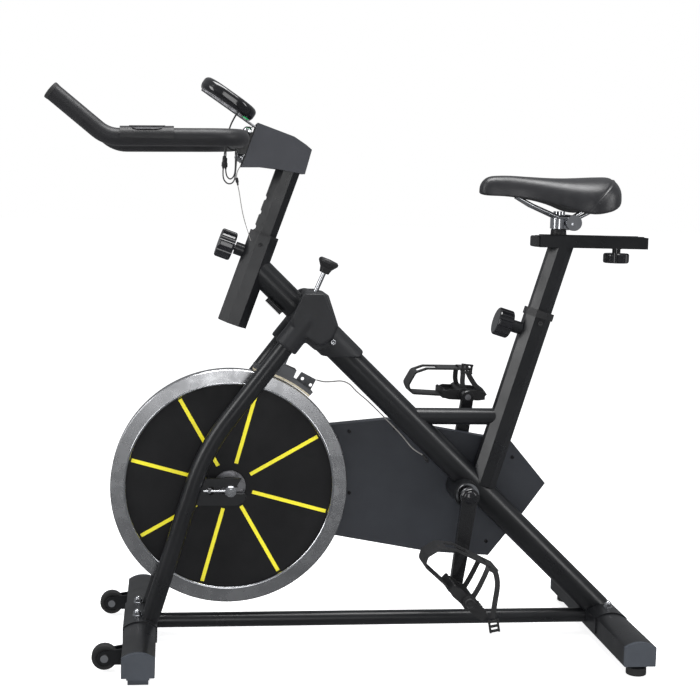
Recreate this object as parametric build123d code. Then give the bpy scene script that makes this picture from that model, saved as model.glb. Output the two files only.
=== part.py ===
from build123d import *
from math import atan2, cos, hypot, pi, radians, sin, tan
import os

os.makedirs("parts", exist_ok=True)

# Spin bike, standing on the floor at z = 0. The rider faces -X, so -Y is the rider's left.
# Each part is drawn from one datum, then moved forward so that the origin is on the floor under the
# middle of the bike. Lengths are in millimetres.

# ---------------------------------------------------------------- driving dimensions
FLOOR = 0.0
BIKE_MIDDLE = 13.75              # how far the bike's middle lies behind the drawing's datum
CLEAR = 0.3                      # air between faces of parts that move against each other

# Crank axis, and the flywheel's axle
CRANK_X = 231.0
CRANK_Z = 293.5
CRANK_LENGTH = 170.0
CRANK_LEAN = 7.2                 # degrees that the left crank leans forward of straight down
AXLE_X = -218.5
AXLE_Z = 301.5

# Flywheel
WHEEL_RADIUS = 223.0
WHEEL_HALF = 15.0                # half the width of its rim
RIM_INNER = 196.0
WEB_HALF = 7.0
HUB_RADIUS = 30.0
CHAIN_Y = 45.0                   # the plane that the chain runs in
CHAIN_HALF = 4.6
CHAIN_PITCH = 12.7
SPROCKET_TEETH = 16
CHAINRING_TEETH = 44

# Stabilizers, the two cross beams on the floor
BEAM_LENGTH = 508.0
BEAM_HALF_WIDTH = 29.0
BEAM_SIDE = 35.5                 # height of its flat sides
BEAM_ARCH = 45.0                 # height of its arched top
BEAM_WALL = 2.5
CAP_LENGTH = 8.0
FRONT_BEAM_X = -382.5
FRONT_BEAM_Z = 15.0
REAR_BEAM_X = 516.5
REAR_BEAM_Z = 20.0
FOOT_Y = 232.0                   # feet, each side of the middle
FOOT_PLATE_HALF = 78.0
FOOT_PLATE_THICK = 2.5
BOLT_Y = 42.0

# Round tubes of the frame
MAIN_RADIUS = 25.0
MAIN_WALL = 2.5
MAIN_POINT = (-13.5, 560.0)      # a point on the main tube's axis, x and z
MAIN_FALL = 0.96                 # how much it falls for each millimetre rearward
CROSS_RADIUS = 16.0
CROSS_Z = 436.0
BASE_RADIUS = 14.0
BASE_Z = 40.0
FORK_RADIUS = 16.5
FORK_Y = 48.0
FORK_BEND = (-266.0, 380.0)
FORK_FOOT = (-365.0, 57.0)
FORK_BEND_RADIUS = 400.0
SHELL_RADIUS = 25.0              # bottom bracket shell

# Octagonal tubes, measured across their flats
HEAD_LEAN = 19.1                 # degrees that the head tube leans back
HEAD_MIDDLE = (-190.5, 692.0)
HEAD_HALF_LENGTH = 87.0
HEAD_ACROSS = 54.0
SEAT_LEAN = 16.6
SEAT_TOP = (370.0, 641.0)
SEAT_ACROSS = 50.0
POST_ACROSS = 44.0
POST_WALL = 2.5
COLLAR_ACROSS = 55.0

# Handlebar
BAR_RADIUS = 12.7
BAR_WALL = 2.0
GRIP_RADIUS = 15.2
BAR_HALF_WIDTH = 216.0
BAR_REAR = (-216.0, 947.5)
BAR_ELBOW = (-442.5, 941.5)
BAR_TIP = (-536.0, 1016.5)
BAR_BEND_RADIUS = 55.0
GRIP_END_Y = 112.0               # the foam stops this far from the middle

# Console
CONSOLE_CENTRE = (-232.0, 1023.0)
CONSOLE_TILT = 33.5              # degrees that its face drops towards the rider
CONSOLE_LENGTH = 112.0
CONSOLE_WIDTH = 122.0
CONSOLE_THICK = 24.0

# Seat
RAIL_FRONT = 361.0
RAIL_REAR = 573.0
RAIL_BOTTOM = 764.5
RAIL_TOP = 786.5
RAIL_HALF_WIDTH = 22.0
SADDLE_POST_X = 401.5
SADDLE_POST_RADIUS = 11.0
SADDLE_POST_TOP = 833.0
TILT_X = 424.0
TILT_Z = 810.0
SADDLE_HALF_WIDTH = 82.0

# Brake
BRAKE_LEAN = 22.8                # degrees from upright: the rod points at the flywheel's axle
BRAKE_ROD_RADIUS = 4.5
PAD_GAP = 2.5                    # air under the brake pad at rest

# Cranks and pedals
ARM_THICK = 15.0
LEFT_ARM_FACE = 80.5             # outer face of the left crank
RIGHT_ARM_FACE = 87.0
PEDAL_INNER = 106.0
PEDAL_OUTER = 203.0
SPINDLE_RADIUS = 6.0
LEFT_PEDAL_TILT = 41.0
RIGHT_PEDAL_TILT = 2.0

WIRE_RADIUS = 1.25


# ---------------------------------------------------------------- helpers
def lean_axis(degrees_back):
    """A unit vector that points up and leans rearward."""
    return Vector(sin(radians(degrees_back)), 0, cos(radians(degrees_back)))


HEAD_AXIS = lean_axis(HEAD_LEAN)
SEAT_AXIS = lean_axis(SEAT_LEAN)
BRAKE_AXIS = lean_axis(BRAKE_LEAN)
HEAD_FRONT = Vector(-HEAD_AXIS.Z, 0, HEAD_AXIS.X)
SEAT_FRONT = Vector(-SEAT_AXIS.Z, 0, SEAT_AXIS.X)
MAIN_AXIS = Vector(1, 0, -MAIN_FALL).normalized()


def head_point(along, front=0.0, y=0.0):
    """A point on the head tube's axis, measured from the middle of the head tube."""
    base = Vector(HEAD_MIDDLE[0], y, HEAD_MIDDLE[1])
    return base + HEAD_AXIS * along + HEAD_FRONT * front


def seat_point(along, front=0.0, y=0.0):
    """A point on the seat tube's axis, measured from the top of the seat tube."""
    base = Vector(SEAT_TOP[0], y, SEAT_TOP[1])
    return base + SEAT_AXIS * along + SEAT_FRONT * front


def main_point(x, y=0.0):
    """The point of the main tube's axis at x."""
    return Vector(x, y, MAIN_POINT[1] - MAIN_FALL * (x - MAIN_POINT[0]))


def brake_point(radius, y=0.0):
    """A point on the brake rod's axis, at a distance from the flywheel's axle."""
    return Vector(AXLE_X, y, AXLE_Z) + BRAKE_AXIS * radius


def crank_point(distance, y):
    """A point along the cranks: positive is the left crank, which hangs down."""
    lean = radians(CRANK_LEAN)
    return Vector(CRANK_X - distance * sin(lean), y, CRANK_Z - distance * cos(lean))


def rod(start, end, radius):
    """A solid cylinder from one point to another."""
    start = Vector(*start)
    run = Vector(*end) - start
    place = Plane(origin=start, z_dir=run.normalized())
    return place * Cylinder(radius, run.length, align=(Align.CENTER, Align.CENTER, Align.MIN))


def pipe(start, end, radius, wall):
    """A hollow round tube."""
    return rod(start, end, radius) - rod(start, end, radius - wall)


def disc(x, z, y_start, y_end, radius):
    """A solid cylinder along Y."""
    return rod((x, y_start, z), (x, y_end, z), radius)


def ring(x, z, y_start, y_end, radius, bore):
    """A cylinder along Y with a bore."""
    return disc(x, z, y_start, y_end, radius) - disc(x, z, y_start, y_end, bore)


def prism(start, axis, across, length, sides=8):
    """A solid bar of regular section, with a flat facing each side of the bike."""
    place = Plane(origin=start, x_dir=(0, 1, 0), z_dir=axis)
    turn = 180 / sides
    return extrude(place * RegularPolygon(across / 2, sides, major_radius=False, rotation=turn), length)


def slab(points, y_start, y_end, radius=0.0):
    """A flat plate: an outline in x and z, pushed along Y, with rounded corners."""
    corners = [(x, y_start, z) for x, z in points]
    if radius:
        outline = FilletPolyline(*corners, radius=radius, close=True)
    else:
        outline = Polyline(*corners, close=True)
    return extrude(make_face(outline), y_end - y_start, dir=(0, 1, 0))


def block(low, high):
    """A box from its lowest corner to its highest."""
    sizes = [b - a for a, b in zip(low, high)]
    corner = (Align.MIN, Align.MIN, Align.MIN)
    return Pos(*low) * Box(*sizes, align=corner)


def both_sides(solid):
    """A solid and its mirror image on the other side of the bike."""
    return [solid, mirror(solid, Plane.XZ)]


def swept(route, radius, arc_radii):
    """A round solid along straight runs joined by tangent arcs."""
    path = FilletPolyline(*route, radius=arc_radii)
    start = Vector(*route[0])
    place = Plane(origin=start, z_dir=(Vector(*route[1]) - start).normalized())
    return sweep(place * Circle(radius), path)


def hexagon(x, z, y_start, y_end, across):
    """A nut along Y."""
    place = Plane(origin=(x, y_start, z), x_dir=(1, 0, 0), z_dir=(0, 1, 0))
    return extrude(place * RegularPolygon(across / 2, 6, major_radius=False), y_end - y_start)


# ---------------------------------------------------------------- stabilizers and feet
def beam_section(centre_x, bottom_z, grow, y):
    """The section of a stabilizer: flat floor and sides with an arched top."""
    half = BEAM_HALF_WIDTH + grow
    low = bottom_z - grow
    side = bottom_z + BEAM_SIDE
    top = bottom_z + BEAM_ARCH + grow
    edges = Polyline((centre_x - half, y, side), (centre_x - half, y, low),
                     (centre_x + half, y, low), (centre_x + half, y, side))
    arch = ThreePointArc((centre_x + half, y, side), (centre_x, y, top), (centre_x - half, y, side))
    return make_face([edges, arch])


def beam_solid(centre_x, bottom_z, grow, y_start, y_end):
    return extrude(beam_section(centre_x, bottom_z, grow, y_start), y_end - y_start, dir=(0, 1, 0))


def beam_tube(centre_x, bottom_z):
    """The hollow steel beam, drilled for its two bolts."""
    half = BEAM_LENGTH / 2 - CAP_LENGTH
    tube = beam_solid(centre_x, bottom_z, 0, -half, half)
    tube -= beam_solid(centre_x, bottom_z, -BEAM_WALL, -half, half)
    return tube


BOLT_PLACES = [(FRONT_BEAM_X - 6, FRONT_BEAM_Z), (REAR_BEAM_X + 4, REAR_BEAM_Z)]


def bolt_hole(x, side, bottom_z):
    return rod((x, side * BOLT_Y, bottom_z - 5), (x, side * BOLT_Y, bottom_z + 60), 4.2)


TRANSPORT_X = -443.0
TRANSPORT_Z = 27.4
TRANSPORT_RADIUS = 23.0
TRANSPORT_Y = 168.0
TRANSPORT_HALF = 9.0
FORK_ARM = 3.0


def front_stabilizer():
    """The front beam, with the two forks of the transport wheels welded to it."""
    beam = beam_tube(FRONT_BEAM_X, FRONT_BEAM_Z)
    for side in (-1, 1):
        beam -= bolt_hole(BOLT_PLACES[0][0], side, FRONT_BEAM_Z)
        for face in (-1, 1):
            inner = side * TRANSPORT_Y + face * (TRANSPORT_HALF + 0.8)
            outer = inner + face * FORK_ARM
            beam += wheel_arm(min(inner, outer), max(inner, outer))
    return beam


def wheel_arm(y_start, y_end):
    """One arm of a transport wheel's fork."""
    root = FRONT_BEAM_X - BEAM_HALF_WIDTH
    arm = slab([(root, TRANSPORT_Z - 12), (TRANSPORT_X, TRANSPORT_Z - 12),
                (TRANSPORT_X, TRANSPORT_Z + 12), (root, TRANSPORT_Z + 17)], y_start, y_end)
    arm += disc(TRANSPORT_X, TRANSPORT_Z, y_start, y_end, 12)
    return arm - disc(TRANSPORT_X, TRANSPORT_Z, y_start, y_end, 4.0)


def rear_stabilizer():
    """The rear beam, with a threaded hole for each levelling foot."""
    beam = beam_tube(REAR_BEAM_X, REAR_BEAM_Z)
    for side in (-1, 1):
        beam -= bolt_hole(BOLT_PLACES[1][0], side, REAR_BEAM_Z)
        stud = side * FOOT_Y
        beam -= rod((REAR_BEAM_X, stud, REAR_BEAM_Z - 1), (REAR_BEAM_X, stud, REAR_BEAM_Z + 4), 5.05)
    return beam


def stabilizer_end_caps():
    """Four plastic end caps. The front two carry the front feet."""
    half = BEAM_LENGTH / 2
    caps = []
    for centre_x, bottom_z in ((FRONT_BEAM_X, FRONT_BEAM_Z), (REAR_BEAM_X, REAR_BEAM_Z)):
        cap = beam_solid(centre_x, bottom_z, 0, -half, -half + CAP_LENGTH)
        if centre_x == FRONT_BEAM_X:
            cap += block((centre_x - 20, -half, FRONT_BEAM_Z - 3), (centre_x + 20, -211, FRONT_BEAM_Z))
            cap += block((centre_x - 18, -243, FLOOR), (centre_x + 18, -211, FRONT_BEAM_Z - 3))
        caps += both_sides(cap)
    return caps


def foot_plate(centre_x, bottom_z):
    """A steel saddle that wraps the top and sides of a stabilizer."""
    half = FOOT_PLATE_HALF
    plate = beam_solid(centre_x, bottom_z, FOOT_PLATE_THICK, -half, half)
    plate -= beam_solid(centre_x, bottom_z, 0, -half, half)
    low = (centre_x - 60, -half - 1, bottom_z - 10)
    plate -= block(low, (centre_x + 60, half + 1, bottom_z + 6))
    return plate


def foot_plates():
    plates = []
    for (bolt_x, bottom_z), centre_x in zip(BOLT_PLACES, (FRONT_BEAM_X, REAR_BEAM_X)):
        plate = foot_plate(centre_x, bottom_z)
        for side in (-1, 1):
            plate -= bolt_hole(bolt_x, side, bottom_z)
        plates.append(plate)
    return plates


def carriage_bolt(x, y, bottom_z):
    """A bolt through a stabilizer, with its washer and domed nut on top."""
    top = bottom_z + BEAM_ARCH + FOOT_PLATE_THICK
    bolt = rod((x, y, bottom_z + BEAM_WALL), (x, y, top + 4), 3.9)
    washer = rod((x, y, top), (x, y, top + 1.6), 8.5)
    nut_place = Plane(origin=(x, y, top + 1.6))
    nut = extrude(nut_place * RegularPolygon(6.5, 6, major_radius=False), 6)
    dome = Pos(x, y, top + 7.6) * Sphere(5.6)
    dome = dome & block((x - 8, y - 8, top + 7.6), (x + 8, y + 8, top + 16))
    return bolt + washer + nut + dome


def wheel_bolt(side):
    """The bolt that a transport wheel turns on."""
    half = TRANSPORT_HALF + 0.8 + FORK_ARM
    centre = side * TRANSPORT_Y
    bolt = disc(TRANSPORT_X, TRANSPORT_Z, centre - half, centre + half, 4.0)
    bolt += disc(TRANSPORT_X, TRANSPORT_Z, centre - half - 3.5, centre - half, 7.0)
    return bolt + disc(TRANSPORT_X, TRANSPORT_Z, centre + half, centre + half + 3.5, 7.0)


def stabilizer_bolts():
    """The bolts of both stabilizers: four that hold the frame and two wheel bolts."""
    bolts = []
    for bolt_x, bottom_z in BOLT_PLACES:
        for side in (-1, 1):
            bolts.append(carriage_bolt(bolt_x, side * BOLT_Y, bottom_z))
    for side in (-1, 1):
        bolts.append(wheel_bolt(side))
    return bolts


def transport_wheel(side):
    """A hard wheel with a running clearance on its bolt."""
    low = side * TRANSPORT_Y - TRANSPORT_HALF
    high = side * TRANSPORT_Y + TRANSPORT_HALF
    wheel = disc(TRANSPORT_X, TRANSPORT_Z, low, high, TRANSPORT_RADIUS)
    wheel = fillet(wheel.edges().filter_by(GeomType.CIRCLE), 3.0)
    for face in (low, high):
        recess = ring(TRANSPORT_X, TRANSPORT_Z, face - 2, face + 2, 16, 8)
        wheel -= recess
    return wheel - disc(TRANSPORT_X, TRANSPORT_Z, low - 1, high + 1, 4.05)


def levelling_foot(side):
    """A round rubber foot on a threaded stud."""
    y = side * FOOT_Y
    foot = rod((REAR_BEAM_X, y, FLOOR), (REAR_BEAM_X, y, 15), 18.5)
    foot = fillet(foot.edges().filter_by(GeomType.CIRCLE), 2.0)
    return foot + rod((REAR_BEAM_X, y, 15), (REAR_BEAM_X, y, 42), 5.0)


# ---------------------------------------------------------------- welded frame
def head_solid(across, low, high):
    return prism(head_point(low), HEAD_AXIS, across, high - low)


def seat_solid(across, low, high):
    return prism(seat_point(low), SEAT_AXIS, across, high - low)


SHELL_LEFT = -50.0
SHELL_RIGHT = 37.0
CROWN_X = -81.3
SEAT_FOOT = -352.0


def crown_point(y):
    """Where the fork's blades meet the main tube."""
    return main_point(CROWN_X, y)


def main_solid():
    """The main tube before its ends are shaped."""
    return rod(main_point(-181), main_point(512), MAIN_RADIUS)


def main_tube():
    """The long tube, with the fork's stubs, the brake bush and the bottom bracket shell welded in."""
    tube = pipe(main_point(-181), main_point(512), MAIN_RADIUS, MAIN_WALL)
    tube -= head_solid(HEAD_ACROSS, -HEAD_HALF_LENGTH, HEAD_HALF_LENGTH)
    tube -= beam_solid(REAR_BEAM_X, REAR_BEAM_Z, FOOT_PLATE_THICK, -60, 60)
    tube -= disc(CRANK_X, CRANK_Z, SHELL_LEFT, SHELL_RIGHT, SHELL_RADIUS)
    crown = crown_point(0)
    stub = rod(crown_point(MAIN_RADIUS - 4), crown_point(FORK_Y), 13)
    for part in both_sides(stub - rod(main_point(-181), main_point(100), MAIN_RADIUS - MAIN_WALL)):
        tube += part
    middle = hypot(crown.X - AXLE_X, crown.Z - AXLE_Z)
    bush = rod(brake_point(middle - 40), brake_point(middle + 34), 9)
    tube += bush
    tube += ring(CRANK_X, CRANK_Z, SHELL_LEFT, SHELL_RIGHT, SHELL_RADIUS, 20)
    return tube - rod(brake_point(middle - 60), brake_point(middle + 60), BRAKE_ROD_RADIUS + 0.06)


def head_tube():
    """The octagonal tube that holds the handlebar post, with the boss of its knob."""
    tube = head_solid(HEAD_ACROSS, -HEAD_HALF_LENGTH, HEAD_HALF_LENGTH)
    tube += rod(head_point(KNOB_HEIGHT, HEAD_ACROSS / 2 - 3), head_point(KNOB_HEIGHT, KNOB_BOSS), 12)
    tube -= head_solid(POST_ACROSS + 2 * CLEAR, -HEAD_HALF_LENGTH - 1, HEAD_HALF_LENGTH + 1)
    return tube - rod(head_point(KNOB_HEIGHT), head_point(KNOB_HEIGHT, KNOB_BOSS + 1), 5.06)


def seat_tube():
    """The octagonal tube that holds the seat post, coped onto the main tube."""
    tube = seat_solid(SEAT_ACROSS, SEAT_FOOT, 0)
    tube += rod(seat_point(SEAT_KNOB_HEIGHT, SEAT_ACROSS / 2 - 3), seat_point(SEAT_KNOB_HEIGHT, KNOB_BOSS), 12)
    tube -= seat_solid(POST_ACROSS + 2 * CLEAR, SEAT_FOOT - 1, 1)
    tube -= main_solid()
    tube -= disc(CRANK_X, CRANK_Z, SHELL_LEFT - 5, SHELL_RIGHT + 5, SHELL_RADIUS)
    return tube - rod(seat_point(SEAT_KNOB_HEIGHT), seat_point(SEAT_KNOB_HEIGHT, KNOB_BOSS + 1), 5.06)


def cross_tube():
    """The short level tube between the main tube and the seat tube."""
    seat_x = seat_point((CROSS_Z - SEAT_TOP[1]) / SEAT_AXIS.Z).X
    start_x = MAIN_POINT[0] + (MAIN_POINT[1] - CROSS_Z) / MAIN_FALL
    tube = pipe((start_x, 0, CROSS_Z), (seat_x, 0, CROSS_Z), CROSS_RADIUS, 2)
    tube -= main_solid()
    return tube - seat_solid(SEAT_ACROSS, SEAT_FOOT, 0)


def base_tube():
    """The low tube that ties the two stabilizers together."""
    front = FRONT_BEAM_X + BEAM_HALF_WIDTH + FOOT_PLATE_THICK
    rear = REAR_BEAM_X - BEAM_HALF_WIDTH - FOOT_PLATE_THICK
    return pipe((front, 0, BASE_Z), (rear, 0, BASE_Z), BASE_RADIUS, 2) - main_solid()


DROPOUT_THICK = 6.0
LEFT_DROPOUT = -51.0
RIGHT_DROPOUT = 53.0


def dropout(y_start):
    """The plate that holds one end of the axle: a slot open to the rear and a round hole."""
    front = AXLE_X - 74
    plate = slab([(front + 16, AXLE_Z + 23), (AXLE_X + 20, AXLE_Z + 23), (AXLE_X + 12, AXLE_Z + 9),
                  (AXLE_X + 32, AXLE_Z - 8), (AXLE_X + 24, AXLE_Z - 22), (AXLE_X + 12, AXLE_Z - 28),
                  (front, AXLE_Z - 28)], y_start, y_start + DROPOUT_THICK)
    end = y_start + DROPOUT_THICK + 1
    slot = block((AXLE_X - 12, y_start - 1, AXLE_Z - 6.3), (AXLE_X + 60, end, AXLE_Z + 6.3))
    plate -= slot + disc(AXLE_X - 12, AXLE_Z, y_start - 1, end, 6.3)
    return plate - disc(AXLE_X - 37, AXLE_Z, y_start - 1, end, 8)


def fork_path(y):
    crown = crown_point(y)
    return [(crown.X, y, crown.Z), (FORK_BEND[0], y, FORK_BEND[1]), (FORK_FOOT[0], y, FORK_FOOT[1])]


def fork_blade(side, dropout_y):
    """One blade of the fork: a bent tube with its dropout welded on."""
    route = fork_path(side * FORK_Y)
    outer = swept(route, FORK_RADIUS, FORK_BEND_RADIUS)
    inner = swept(route, FORK_RADIUS - 2, FORK_BEND_RADIUS)
    plate = dropout(dropout_y) - inner
    blade = outer - inner + plate
    blade -= beam_solid(FRONT_BEAM_X, FRONT_BEAM_Z, FOOT_PLATE_THICK, -80, 80)
    return blade - rod(crown_point(-FORK_Y), crown_point(FORK_Y), 13)


def tube_collars():
    """The two plastic collars that line the mouths of the head tube and the seat tube."""
    head = head_solid(HEAD_ACROSS, HEAD_HALF_LENGTH, HEAD_HALF_LENGTH + 4)
    head -= head_solid(POST_ACROSS + 2 * CLEAR, HEAD_HALF_LENGTH - 1, HEAD_HALF_LENGTH + 5)
    seat = seat_solid(COLLAR_ACROSS, -12, 2)
    seat -= seat_solid(SEAT_ACROSS, -13, 0)
    seat -= seat_solid(POST_ACROSS + 2 * CLEAR, -1, 3)
    return [head, seat]


# ---------------------------------------------------------------- plastic covers
def joint_cover(side):
    """Half of the plastic cover over the joint of the main tube and the fork."""
    shell = joint_cover_solid(0)
    shell -= joint_cover_solid(-3)
    shell -= joint_cover_openings()
    half = block((-250, 0.15, 450), (120, 90, 760)) if side > 0 else block((-250, -90, 450), (120, -0.15, 760))
    return shell & half


def joint_cover_solid(grow):
    """The outer form of the joint cover, or the hollow inside it."""
    width = FORK_Y + FORK_RADIUS + 5.5 + grow
    neck = MAIN_RADIUS + 6 + grow
    sleeve = rod(main_point(-100 - grow), main_point(24 + grow), neck)
    cheeks = []
    fork = Vector(CROWN_X - FORK_BEND[0], 0, crown_point(0).Z - FORK_BEND[1]).normalized()
    foot = crown_point(0) - fork * (62 + grow)
    head = crown_point(0) + fork * (6 + grow)
    for y in (-FORK_Y, FORK_Y):
        start = Vector(foot.X, y, foot.Z)
        end = Vector(head.X, y, head.Z)
        cheeks.append(rod(start, end, FORK_RADIUS + 5.5 + grow))
    body = slab([(-108 - grow, 618), (-80, 674 + grow), (-42 + grow, 664 + grow), (-26 + grow, 612),
                 (-44 + grow, 574 - grow), (-62, 572 - grow), (-104 - grow, 604 - grow)],
                -FORK_Y - 16 - grow, FORK_Y + 16 + grow)
    solid = sleeve + body
    for cheek in cheeks:
        solid += cheek
    return solid


def joint_cover_openings():
    """The holes that the main tube, the fork's blades and the brake rod pass through."""
    openings = rod(main_point(-200), main_point(100), MAIN_RADIUS + CLEAR)
    openings += rod(brake_point(200), brake_point(460), 11)
    openings += block((-58, -90, 450), (120, 90, 553))
    for y in (-FORK_Y, FORK_Y):
        openings += rod((FORK_BEND[0], y, FORK_BEND[1]), crown_point(y), FORK_RADIUS + CLEAR)
    return openings


def joint_covers():
    return [joint_cover(-1), joint_cover(1)]


COVER_INNER = 37.5
COVER_OUTER = 66.0
COVER_SPLIT = 50.0
COVER_WALL = 1.6
COVER_OUTLINE = [(-289, 231), (-10, 194), (178, 160), (296, 152), (363, 237), (406, 297), (335, 380),
                 (88, 423), (-19, 412), (-233, 390)]


def drive_cover_solid(inset, y_start, y_end):
    """The chain cover's outline as a solid, inset by its wall for the hollow."""
    outline = make_face(Polyline(*[(x, y_start, z) for x, z in COVER_OUTLINE], close=True))
    if inset:
        outline = offset(outline, -inset, kind=Kind.INTERSECTION)
    return extrude(outline, y_end - y_start, dir=(0, 1, 0))


def fork_clearance():
    """The room that the right fork blade and its dropout need."""
    route = fork_path(FORK_Y)
    room = swept(route, FORK_RADIUS + 2.5, FORK_BEND_RADIUS)
    plate = slab([(AXLE_X - 75, AXLE_Z - 34), (AXLE_X + 60, AXLE_Z - 34),
                  (AXLE_X + 60, AXLE_Z + 29), (AXLE_X - 75, AXLE_Z + 29)], RIGHT_DROPOUT - 1.2, 90)
    return room + plate


def drive_cover(y_start, y_end, floor_start, floor_end):
    """One shell of the chain cover: a plate with a rim around it."""
    shell = drive_cover_solid(0, y_start, y_end)
    shell -= drive_cover_solid(COVER_WALL, floor_start, floor_end)
    return shell


def drive_cover_inner():
    """The shell beside the flywheel."""
    shell = drive_cover(COVER_INNER, COVER_SPLIT, COVER_INNER + COVER_WALL, COVER_SPLIT)
    shell -= disc(AXLE_X, AXLE_Z, 30, COVER_SPLIT, 26)
    shell -= disc(CRANK_X, CRANK_Z, 30, COVER_SPLIT, 19)
    return shell - fork_clearance()


def drive_cover_outer():
    """The shell that faces out, with a round opening for the right crank."""
    shell = drive_cover(COVER_SPLIT, COVER_OUTER, COVER_SPLIT, COVER_OUTER - COVER_WALL)
    shell -= disc(CRANK_X, CRANK_Z, COVER_SPLIT, COVER_OUTER + 1, 22)
    return shell - fork_clearance()


COVER_SCREWS = [(13, 399), (16, 278), (102, 406), (338, 349), (291, 180)]


def cover_screws():
    """The screws that pull the two halves of the chain cover together."""
    screws = []
    for x, z in COVER_SCREWS:
        head = disc(x, z, COVER_INNER - 1.8, COVER_INNER, 3.6)
        head = fillet(head.edges().sort_by(Axis.Y)[0], 1.2)
        screws.append(head)
    return screws


# ---------------------------------------------------------------- flywheel
def flywheel():
    """The steel disc with its heavy rim."""
    wheel = ring(AXLE_X, AXLE_Z, -WHEEL_HALF, WHEEL_HALF, WHEEL_RADIUS, RIM_INNER)
    wheel = chamfer(wheel.edges().filter_by(GeomType.CIRCLE), 1.5)
    return wheel + ring(AXLE_X, AXLE_Z, -WEB_HALF, WEB_HALF, RIM_INNER, HUB_RADIUS)


BEARING_RADIUS = 16.0
BEARING_WIDTH = 10.0
AXLE_RADIUS = 6.0
HUB_LEFT = -31.0
HUB_RIGHT = 49.0
SPROCKET_HALF = 1.5
SPROCKET_BORE = 20.0


def flywheel_hub():
    """The hub, with a seat for a bearing in each end and a shoulder for the sprocket."""
    hub = disc(AXLE_X, AXLE_Z, HUB_LEFT, CHAIN_Y - 8, 24)
    hub += disc(AXLE_X, AXLE_Z, -WEB_HALF - 5, WEB_HALF + 5, HUB_RADIUS)
    hub += disc(AXLE_X, AXLE_Z, CHAIN_Y - 8, HUB_RIGHT, SPROCKET_BORE)
    hub -= disc(AXLE_X, AXLE_Z, HUB_LEFT, HUB_LEFT + BEARING_WIDTH, BEARING_RADIUS)
    hub -= disc(AXLE_X, AXLE_Z, HUB_RIGHT - BEARING_WIDTH, HUB_RIGHT, BEARING_RADIUS)
    return hub - disc(AXLE_X, AXLE_Z, HUB_LEFT, HUB_RIGHT, 11)


def flywheel_bearings():
    bearings = []
    for y in (HUB_LEFT, HUB_RIGHT - BEARING_WIDTH):
        bearings.append(ring(AXLE_X, AXLE_Z, y, y + BEARING_WIDTH, BEARING_RADIUS, AXLE_RADIUS + 0.03))
    return bearings


def pitch_radius(teeth):
    return CHAIN_PITCH / (2 * sin(pi / teeth))


def toothed_disc(x, z, teeth, bore):
    """A chain wheel: a disc with a round notch at each tooth gap."""
    radius = pitch_radius(teeth)
    wheel = ring(x, z, CHAIN_Y - SPROCKET_HALF, CHAIN_Y + SPROCKET_HALF, radius + 3, bore)
    for tooth in range(teeth):
        angle = 2 * pi * tooth / teeth
        centre_x = x + radius * cos(angle)
        centre_z = z + radius * sin(angle)
        wheel -= disc(centre_x, centre_z, CHAIN_Y - 3, CHAIN_Y + 3, 4.1)
    return wheel


def flywheel_sprocket():
    return toothed_disc(AXLE_X, AXLE_Z, SPROCKET_TEETH, SPROCKET_BORE)


def chainring():
    """The front chain wheel, with lightening holes."""
    ring_gear = toothed_disc(CRANK_X, CRANK_Z, CHAINRING_TEETH, 15)
    for hole in range(5):
        angle = 2 * pi * hole / 5
        x = CRANK_X + 52 * cos(angle)
        z = CRANK_Z + 52 * sin(angle)
        ring_gear -= disc(x, z, CHAIN_Y - 3, CHAIN_Y + 3, 17)
    return ring_gear


def chain_loop(grow):
    """The outline of the chain's loop: two arcs around the wheels and two straight runs."""
    front = pitch_radius(SPROCKET_TEETH) + grow
    rear = pitch_radius(CHAINRING_TEETH) + grow
    run = hypot(CRANK_X - AXLE_X, CRANK_Z - AXLE_Z)
    slope = atan2(CRANK_Z - AXLE_Z, CRANK_X - AXLE_X)
    spread = pi / 2 + (rear - front) / run
    y = CHAIN_Y - CHAIN_HALF

    def on(x, z, radius, angle):
        return (x + radius * cos(angle), y, z + radius * sin(angle))

    top_front = on(AXLE_X, AXLE_Z, front, slope + spread)
    top_rear = on(CRANK_X, CRANK_Z, rear, slope + spread)
    low_front = on(AXLE_X, AXLE_Z, front, slope - spread)
    low_rear = on(CRANK_X, CRANK_Z, rear, slope - spread)
    nose = on(AXLE_X, AXLE_Z, front, slope + pi)
    tail = on(CRANK_X, CRANK_Z, rear, slope)
    outline = [Line(top_front, top_rear), ThreePointArc(top_rear, tail, low_rear),
               Line(low_rear, low_front), ThreePointArc(low_front, nose, top_front)]
    return extrude(make_face(outline), 2 * CHAIN_HALF, dir=(0, 1, 0))


def drive_chain():
    """The chain as one closed band, which clears the teeth that turn inside it."""
    return chain_loop(8.6) - chain_loop(3.6)


def flywheel_axle():
    """The fixed axle, with a shoulder inside each dropout."""
    axle = disc(AXLE_X, AXLE_Z, -66, 70, AXLE_RADIUS)
    axle += disc(AXLE_X, AXLE_Z, LEFT_DROPOUT + DROPOUT_THICK, HUB_LEFT - 0.5, 9)
    return axle + disc(AXLE_X, AXLE_Z, HUB_RIGHT + 0.5, RIGHT_DROPOUT, 9)


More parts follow.
